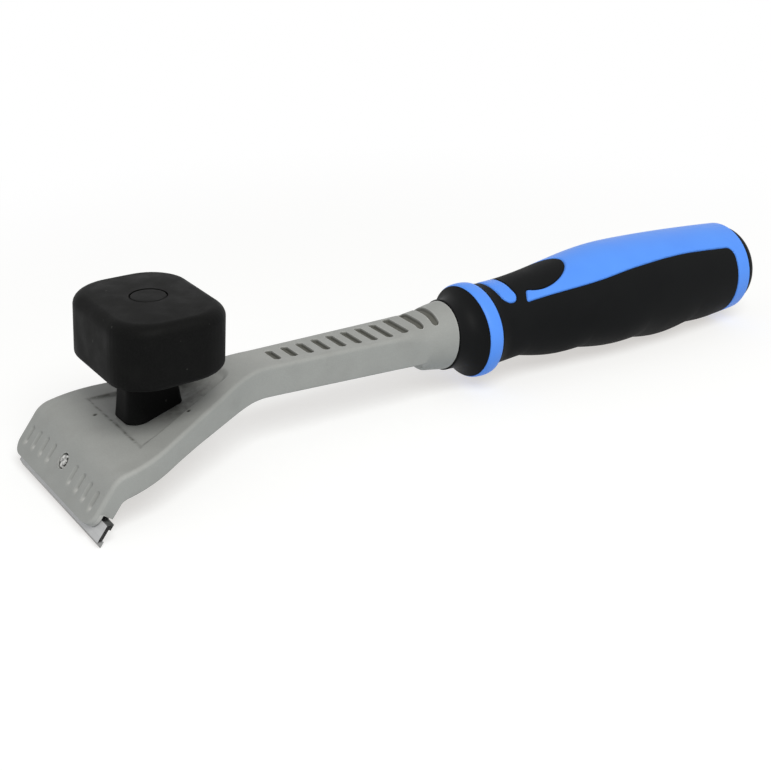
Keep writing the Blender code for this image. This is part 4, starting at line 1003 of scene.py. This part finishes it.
def chevron_inside(x, y):
    """Depth inside the band across the handle behind the ring."""
    half = CHEVRON_LENGTH / 2
    dx = x - CHEVRON_FRONT - half - CHEVRON_SWEEP * (y / CHEVRON_HALF_WIDTH) ** 2
    return rounded_inside(half - np.abs(dx), CHEVRON_HALF_WIDTH - np.abs(y), CHEVRON_CORNER)


def window_inside(x, y):
    """Depth inside the long window over the top, outside the thumb pad."""
    widening = (WINDOW_WIDEST_HALF - WINDOW_FRONT_HALF) * ease(x, TAIL_X, WINDOW_WIDEST_X)
    narrowing = (WINDOW_WIDEST_HALF - WINDOW_NARROW_HALF) * ease(x, WINDOW_WIDEST_X, WINDOW_NARROW_X)
    half = WINDOW_FRONT_HALF + widening - narrowing
    tail = (x - TAIL_X + TAIL_SLANT * (np.abs(y) - TAIL_MIDDLE)) / math.hypot(1, TAIL_SLANT)
    sides = rounded_inside(half - np.abs(y), tail, TAIL_CORNER)
    middle, half_length = (PAD_FRONT + PAD_REAR) / 2, (PAD_REAR - PAD_FRONT) / 2
    along, across = (x - middle) / half_length, y / PAD_HALF_WIDTH
    size = np.hypot(along, across) + TINY
    slope = np.hypot(along / half_length, across / PAD_HALF_WIDTH) / size
    outside_pad = (size - 1) / np.maximum(slope, TINY)
    return rounded_inside(sides, outside_pad, TAIL_CORNER)


def bare_inside(points):
    """Depth inside the blue surface: the ring, the band across, the window and the rear band."""
    x, y, z = points[..., 0], points[..., 1], points[..., 2]
    window, rear = -window_inside(x, y), REAR_BAND_X - x
    far = np.full_like(x, BELLY_RADIUS)
    over_top = np.where(z > 0, np.minimum(window, -chevron_inside(x, y)), far)
    window = np.where(z > 0, window, far)
    joined = rounded_inside(window, rear, WINDOW_CORNER)
    return -np.minimum(np.minimum(joined, over_top), x)


def sunk(points, depth):
    """Points moved in towards the handle's axis."""
    out = np.hypot(points[..., 1], points[..., 2])
    share = (1 - depth / out)[..., None]
    return points * np.concatenate((np.ones_like(share), share, share), axis=-1)


def make_core():
    """Blue core: ring, band, window and rear band stand up to the surface."""
    x = stations((-RING_LENGTH, BUTT_X - BUTT_EDGE, HANDLE_STEP))
    outer = handle_surface(x)
    covered = ease(-bare_inside(outer), -SEAM_SOFT, SEAM_SOFT)
    outer = sunk(outer, covered * SEAM_DEPTH)
    ends_x = np.array((BOSS_END + CLEARANCE, -RING_LENGTH, BUTT_X))
    radii = np.array((NOSE_RADIUS, NOSE_RADIUS, BUTT_RADIUS - BUTT_EDGE))
    ends = handle_points(ends_x, radii, np.ones(3), handle_angles())
    rings = [leaned(ends[0]), ends[1], *outer, ends[2]]
    core = loft("handle_core_body", rings)
    bore, start = CAP_SPIGOT_RADIUS + CLEARANCE, BUTT_X - CAP_SPIGOT_LENGTH
    return cut(core, cylinder("cap_bore", bore, start, BUTT_X + CAP_LENGTH, ALONG_HANDLE))


def make_sleeve():
    """Black grip moulded round the core, with the thumb pad on top."""
    x = stations((CLEARANCE / 2, REAR_BAND_X + SEAM_SOFT, HANDLE_STEP))
    outer = handle_surface(x)
    bare = ease(bare_inside(outer), -SEAM_SOFT, SEAM_SOFT)
    outer = sunk(outer, bare * SEAM_DEPTH)
    under = handle_surface(np.linspace(x[-1], x[0], SLEEVE_UNDER_POINTS), SLEEVE_WALL)
    return loft("grip_body", np.concatenate((outer, under)), open_loop=True)


def make_collar():
    """Flared black collar between the boss and the ring, with a rounded front lip."""
    angles = np.linspace(0, math.tau, 2 * ROUND_POINTS, endpoint=False)
    front, rear = BOSS_END + CLEARANCE, -RING_LENGTH - CLEARANCE / 2
    length = rear - front
    outer = [(COLLAR_LIP * back, COLLAR_LIP * inset) for back, inset in quarter(COLLAR_LIP_POINTS)]
    outer += [(along, 0.0) for along in np.linspace(COLLAR_LIP, length, COLLAR_POINTS)[1:]]
    bore = NOSE_RADIUS + CLEARANCE
    profile = [(0.0, bore, 1.0), (length, bore, 1.0)]
    for along, inset in reversed(outer):
        flare = (RING_EDGE_RADIUS - COLLAR_FRONT_RADIUS) * (along / length) ** COLLAR_FLARE_POWER
        profile.append((along, COLLAR_FRONT_RADIUS + flare - inset, ring_top(front + along)))
    rings = []
    for along, radius, top in profile:
        ring = handle_points([front + along], [radius], [top], angles)[0]
        rings.append(leaned(ring, 1 - along / length))
    return loft("collar_body", rings, open_loop=True)


def make_cap():
    """Black cap with a flat end and a spigot in the butt of the core."""
    face, end = BUTT_X + CLEARANCE, BUTT_X + CAP_LENGTH
    rim = CAP_RADIUS - CAP_FLAT_RADIUS
    spigot_end = BUTT_X - CAP_SPIGOT_LENGTH + CLEARANCE
    profile = [(CAP_FLAT_RADIUS * share, end) for share in (NEAR_AXIS_SHARE, 0.5)]
    for back, inset in quarter(CAP_EDGE_POINTS):
        profile.append((CAP_RADIUS - rim * inset, end - (CAP_LENGTH - BUTT_EDGE) * back))
    profile += [(CAP_RADIUS, face), (CAP_SPIGOT_RADIUS, face), (CAP_SPIGOT_RADIUS, spigot_end)]
    profile += [(CAP_SPIGOT_RADIUS * NEAR_AXIS_SHARE, spigot_end)]
    return turned("cap_body", profile, ALONG_HANDLE)


# Materials

def add_node(tree, kind, output, inputs=None, **settings):
    """Output of a new shader node, with each input set to a value or joined to another output."""
    node = tree.nodes.new("ShaderNode" + kind)
    for name, value in settings.items():
        setattr(node, name, value)
    for name, value in (inputs or {}).items():
        if isinstance(value, bpy.types.NodeSocket):
            tree.links.new(value, node.inputs[name])
        else:
            node.inputs[name].default_value = value
    return node.outputs[output]


def new_material(name, metallic=0.0, specular=0.5):
    """New material and its node tree."""
    material = bpy.data.materials.new(name)
    material.use_nodes = True
    inputs = material.node_tree.nodes["Principled BSDF"].inputs
    inputs["Metallic"].default_value = metallic
    inputs["Specular IOR Level"].default_value = specular
    return material, material.node_tree


def finished(material, colour, roughness, normal=None):
    """Material with what was built for it joined to its shader."""
    tree = material.node_tree
    inputs = tree.nodes["Principled BSDF"].inputs
    tree.links.new(colour, inputs["Base Color"])
    tree.links.new(roughness, inputs["Roughness"])
    if normal is not None:
        tree.links.new(normal, inputs["Normal"])
    return material


def noise(tree, scale, detail, stretch=(1, 1, 1)):
    """Noise in the piece's own space, in waves per metre."""
    place = add_node(tree, "TexCoord", "Object")
    stretched = add_node(tree, "Mapping", "Vector", {"Vector": place, "Scale": stretch})
    return add_node(tree, "TexNoise", "Fac", {"Vector": stretched, "Scale": scale, "Detail": detail})


def ranged(tree, value, low, high, start=0.3, end=0.7, interpolation="LINEAR"):
    """A number that runs from low to high as value goes from start to end."""
    inputs = {"Value": value, "From Min": start, "From Max": end, "To Min": low, "To Max": high}
    return add_node(tree, "MapRange", "Result", inputs, interpolation_type=interpolation)


def tinted(tree, first, second, value, most=1.0, start=0.3, end=0.7):
    """A colour that leaves first for second as value goes from start to end, by most at the end."""
    share = ranged(tree, value, 0.0, most, start, end)
    return add_node(tree, "Mix", "Result", {"Factor": share, "A": first, "B": second}, data_type="RGBA")


def edges(tree):
    """Over one half on outer edges, one half on flat faces."""
    return add_node(tree, "NewGeometry", "Pointiness")


def stored(tree, name):
    """A number stored on the mesh's points."""
    return add_node(tree, "Attribute", "Fac", attribute_name=name)


def bumped(tree, height, distance, strength, normal=None):
    """Fine relief, laid over an earlier one if that is given."""
    inputs = {"Height": height, "Distance": distance, "Strength": strength}
    if normal is not None:
        inputs["Normal"] = normal
    return add_node(tree, "Bump", "Normal", inputs)


def casting_paint():
    """Satin grey coating over a die casting: faint clouds, fine grain and smudges, painted highlights on
    the edges, painted shade in the slots, grooves and pits, painted shade mixed with dirt in the pocket,
    and painted glints at the grooves' lower ends.
    """
    material, tree = new_material("satin_grey_coating", specular=0.20)
    grain = noise(tree, 2600, 2)
    recess_shade = stored(tree, "recess_shade")
    patches = ranged(tree, noise(tree, 480, 4), 0.15, 0.9, 0.38, 0.62)
    shade_and_dirt = add_node(tree, "Math", "Value", {0: stored(tree, "shade_and_dirt"), 1: patches}, operation="MULTIPLY")
    colour = tinted(tree, *COATING, noise(tree, 38, 3))
    colour = tinted(tree, colour, COATING_GRAIN, grain, 0.28)
    colour = tinted(tree, colour, COATING_SMUDGE, noise(tree, 95, 5), 0.22, 0.50, 0.72)
    # Painted highlight along the outer edges
    colour = tinted(tree, colour, COATING_EDGE_HIGHLIGHT, edges(tree), 1, 0.515, 0.56)
    # Painted shade, mixed with dirt, along the pocket's edge and round the post
    colour = tinted(tree, colour, POCKET_SHADE_AND_DIRT, shade_and_dirt, 1, 0, 1)
    # Painted shade in the slots and grooves, and black painted shade in the pits
    colour = tinted(tree, colour, SLOT_PAINTED_SHADE, recess_shade, 1, 0, 1)
    colour = tinted(tree, colour, PIT_PAINTED_SHADE, recess_shade, 1, 1, 2)
    # Painted glints at the grooves' lower ends
    colour = tinted(tree, colour, PAINTED_GLINT, stored(tree, "glint"), 0.8, 0, 1)
    rough = ranged(tree, noise(tree, 420, 3), 0.40, 0.54)
    normal = bumped(tree, grain, 0.00006, 0.35)
    normal = bumped(tree, noise(tree, 160, 2), 0.00012, 0.12, normal)
    return finished(material, colour, rough, normal)


def blade_steel():
    """Rolled steel with faint lines along the strip."""
    material, tree = new_material("rolled_steel", 0.35)
    lines = noise(tree, 900, 3, (1.0, 0.02, 1.0))
    stains = noise(tree, 110, 4)
    colour = tinted(tree, *ROLLED_STEEL, lines)
    colour = tinted(tree, colour, STEEL_STAIN, stains, 0.3, 0.45, 0.75)
    normal = bumped(tree, lines, 0.00004, 0.4)
    return finished(material, colour, ranged(tree, stains, 0.34, 0.50), normal)


def ground_steel():
    """Ground bevels, painted dark as the shade along the blade's lower edge, with fine lines across the
    edge.
    """
    material, tree = new_material("ground_steel_bevel", 1.0)
    lines = noise(tree, 1500, 2, (0.15, 1.0, 0.15))
    colour = tinted(tree, *GROUND_STEEL_PAINTED_DARK, lines)
    normal = bumped(tree, lines, 0.00003, 0.3)
    return finished(material, colour, ranged(tree, lines, 0.24, 0.38), normal)


def sheared_steel():
    """Dark sheared ends of the blade, pale near the lower edge."""
    material, tree = new_material("sheared_steel_end", 0.6)
    grain = noise(tree, 1400, 3)
    height = add_node(tree, "SeparateXYZ", "Z", {"Vector": add_node(tree, "TexCoord", "Object")})
    colour = tinted(tree, *SHEARED_STEEL, grain, 1, 0.45, 0.7)
    colour = tinted(tree, colour, SHEARED_STEEL_LOWER_PALE, height, 1, SHEAR_DARK_ABOVE, SHEAR_BRIGHT_BELOW)
    return finished(material, colour, ranged(tree, grain, 0.45, 0.65))


def dark_steel():
    material, tree = new_material("black_oxide_steel", 1.0)
    clouds = noise(tree, 240, 4)
    colour = tinted(tree, *BLACK_OXIDE, clouds)
    colour = tinted(tree, colour, BLACK_OXIDE_EDGE, edges(tree), 1, 0.52, 0.60)
    return finished(material, colour, ranged(tree, clouds, 0.38, 0.55))


def zinc_plate():
    material, tree = new_material("zinc_plate", 1.0)
    clouds = noise(tree, 520, 3)
    colour = tinted(tree, *ZINC, clouds)
    return finished(material, colour, ranged(tree, clouds, 0.20, 0.38))


def wear_and_glint_steel():
    """Dark oiled steel with bright spots, partly wear and partly painted glints."""
    material, tree = new_material("dark_steel_wear_and_glints", 1.0)
    spots = noise(tree, 620, 2)
    colour = tinted(tree, *OILED_STEEL_WEAR_AND_GLINT, spots, 1, 0.45, 0.66)
    return finished(material, colour, ranged(tree, spots, 0.45, 0.22))


def knob_plastic():
    """Fine matte black moulding with faint scuffs and a few pale specks."""
    material, tree = new_material("matte_black_moulding", specular=0.04)
    grain = noise(tree, 2400, 2)
    scuffs = noise(tree, 130, 5)
    colour = tinted(tree, *KNOB_BLACK, grain)
    colour = tinted(tree, colour, KNOB_SCUFF, scuffs, 0.5, 0.52, 0.74)
    colour = tinted(tree, colour, KNOB_SPECK, noise(tree, 640, 0), 0.4, 0.85, 0.88)
    normal = bumped(tree, grain, 0.00006, 0.4)
    return finished(material, colour, ranged(tree, scuffs, 0.44, 0.60), normal)


def black_moulding(name, low, high, specular):
    """Black rubber or plastic with a fine matte skin, its roughness between low and high."""
    material, tree = new_material(name, specular=specular)
    clouds = noise(tree, 60, 4)
    colour = tinted(tree, *GRIP_BLACK, clouds)
    normal = bumped(tree, noise(tree, 3200, 2), 0.00006, 0.45)
    return finished(material, colour, ranged(tree, clouds, low, high), normal)


def core_plastic():
    """Bright blue moulding with a soft gloss and a faint mould skin."""
    material, tree = new_material("blue_moulding", specular=0.15)
    clouds = noise(tree, 45, 3)
    colour = tinted(tree, *CORE_BLUE, clouds)
    normal = bumped(tree, noise(tree, 2000, 2), 0.00004, 0.2)
    return finished(material, colour, ranged(tree, clouds, 0.34, 0.46), normal)


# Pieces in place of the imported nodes

def dress(piece, node, body, slot, *materials):
    """Puts a finished piece in place of a CAD node."""
    piece.data.materials.clear()
    for material in materials:
        piece.data.materials.append(material)
    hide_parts(node)
    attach(piece, body)
    return piece


def finish_blade(blade):
    """Gives the two ground faces and the sheared ends of the blade their own finish."""
    across = TOOL.to_3x3() @ PLATE_DOWN
    front = TOOL.to_3x3() @ -PLATE_BACK
    for face in blade.data.polygons:
        lean = abs(face.normal.dot(across))
        if lean > BEVEL_ACROSS and face.normal.dot(front) > BEVEL_FRONT:
            face.material_index = 1
        if abs(face.normal.y) > BLADE_END_FACING:
            face.material_index = 2


def make_pieces():
    rubber = black_moulding("black_grip_rubber", 0.52, 0.70, 0.05)
    moulded = black_moulding("black_moulding", 0.44, 0.58, 0.06)
    knob = knob_plastic()
    steels = blade_steel(), ground_steel(), sheared_steel()
    dress(make_casting(), "head_casting", "tool_body", "casting", casting_paint())
    finish_blade(dress(make_blade(), "scraper_blade", "blade", "blade", *steels))
    dress(make_clamp_plate(), "clamp_plate", "clamp", "clamp", dark_steel())
    dress(make_knob(), "knob_body", "tool_body", "knob", knob)
    dress(make_plug(), "knob_plug", "tool_body", "knob", knob)
    dress(make_core(), "handle_core", "tool_body", "core", core_plastic())
    dress(make_sleeve(), "grip_sleeve", "tool_body", "grip", rubber)
    dress(make_collar(), "front_collar", "tool_body", "grip", moulded)
    dress(make_cap(), "end_cap", "tool_body", "cap", moulded)


def finish_fasteners():
    """Gives the fasteners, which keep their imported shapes, their own finish."""
    zinc = zinc_plate()
    finishes = dict.fromkeys(("clamp_washer", "knob_bolt", "knob_bolt_washer", "knob_nut"), zinc)
    finishes["clamp_screw"] = wear_and_glint_steel()
    for name, material in finishes.items():
        node = frame["nodes"][name]
        node.data.materials.clear()
        node.data.materials.append(material)


# Stage, light and camera

def seen_directly(tree):
    """1 for rays that show the background itself or mirror it."""
    total = add_node(tree, "LightPath", "Is Camera Ray")
    for name in ("Is Glossy Ray", "Is Transmission Ray"):
        ray = add_node(tree, "LightPath", name)
        total = add_node(tree, "Math", "Value", {0: total, 1: ray}, operation="MAXIMUM")
    return total


def far_from_tool(tree):
    """Share of plain white in the floor's look, rising to 1 away from the tool."""
    place = add_node(tree, "TexCoord", "Object")
    distance = add_node(tree, "VectorMath", "Value", {0: place}, operation="LENGTH")
    return ranged(tree, distance, FLOOR_WHITE_NEAR, 1.0, FLOOR_NEAR, FLOOR_FAR, "SMOOTHSTEP")


def mixed(tree, share, first, second):
    return add_node(tree, "MixShader", "Shader", {"Fac": share, 1: first, 2: second})


def empty_tree(owner):
    """Node tree of a material or a world, with nothing in it yet."""
    owner.use_nodes = True
    owner.node_tree.nodes.clear()
    return owner.node_tree


def set_surface(tree, kind, surface):
    output = tree.nodes.new("ShaderNodeOutput" + kind)
    tree.links.new(surface, output.inputs["Surface"])


def make_floor():
    """Pale sheet that keeps the tool's shadow and looks white where nothing shades it."""
    half = FLOOR_SIZE / 2
    corners = [(-half, -half, 0), (half, -half, 0), (half, half, 0), (-half, half, 0)]
    mesh = bpy.data.meshes.new("floor")
    mesh.from_pydata(corners, [], [(0, 1, 2, 3)])
    floor = add_object("floor", mesh)
    material = bpy.data.materials.new("pale_floor")
    tree = empty_tree(material)
    paper = add_node(tree, "BsdfDiffuse", "BSDF", {"Color": FLOOR_COLOUR})
    glow = add_node(tree, "Emission", "Emission", {"Color": FLOOR_GLOW})
    white = add_node(tree, "Emission", "Emission", {"Color": WHITE})
    lit = add_node(tree, "AddShader", "Shader", {0: paper, 1: glow})
    seen = mixed(tree, far_from_tool(tree), lit, white)
    set_surface(tree, "Material", mixed(tree, seen_directly(tree), paper, seen))
    mesh.materials.append(material)


def make_world():
    """Even light from all round, seen as plain white."""
    world = bpy.data.worlds.new("studio")
    bpy.context.scene.world = world
    tree = empty_tree(world)
    light = add_node(tree, "Background", "Background", {"Color": WHITE, "Strength": WORLD_STRENGTH})
    white = add_node(tree, "Background", "Background", {"Color": WHITE, "Strength": 1.0})
    set_surface(tree, "World", mixed(tree, seen_directly(tree), light, white))


def make_key_lamp():
    """One broad lamp above the near side of the head."""
    data = bpy.data.lights.new("key", "AREA")
    data.shape = "DISK"
    data.size = KEY_SIZE
    data.energy = KEY_POWER
    data.color = KEY_COLOUR
    lamp = add_object("key", data)
    lamp.location = KEY_PLACE
    lamp.rotation_euler = (KEY_TARGET - KEY_PLACE).to_track_quat("-Z", "Y").to_euler()


def make_camera():
    data = bpy.data.cameras.new("camera")
    data.sensor_width = SENSOR
    data.lens = FOCAL_PIXELS / PICTURE * SENSOR
    data.clip_start = CLIP_START
    camera = add_object("camera", data)
    right, up = CAMERA_RIGHT.normalized(), CAMERA_UP.normalized()
    axes = Matrix((right, up, right.cross(up))).transposed().to_4x4()
    camera.matrix_world = TOOL @ Matrix.Translation(CAMERA_PLACE) @ axes
    bpy.context.scene.camera = camera


make_pieces()
finish_fasteners()
make_floor()
make_world()
make_key_lamp()
make_camera()
bpy.context.scene.view_settings.view_transform = "Standard"
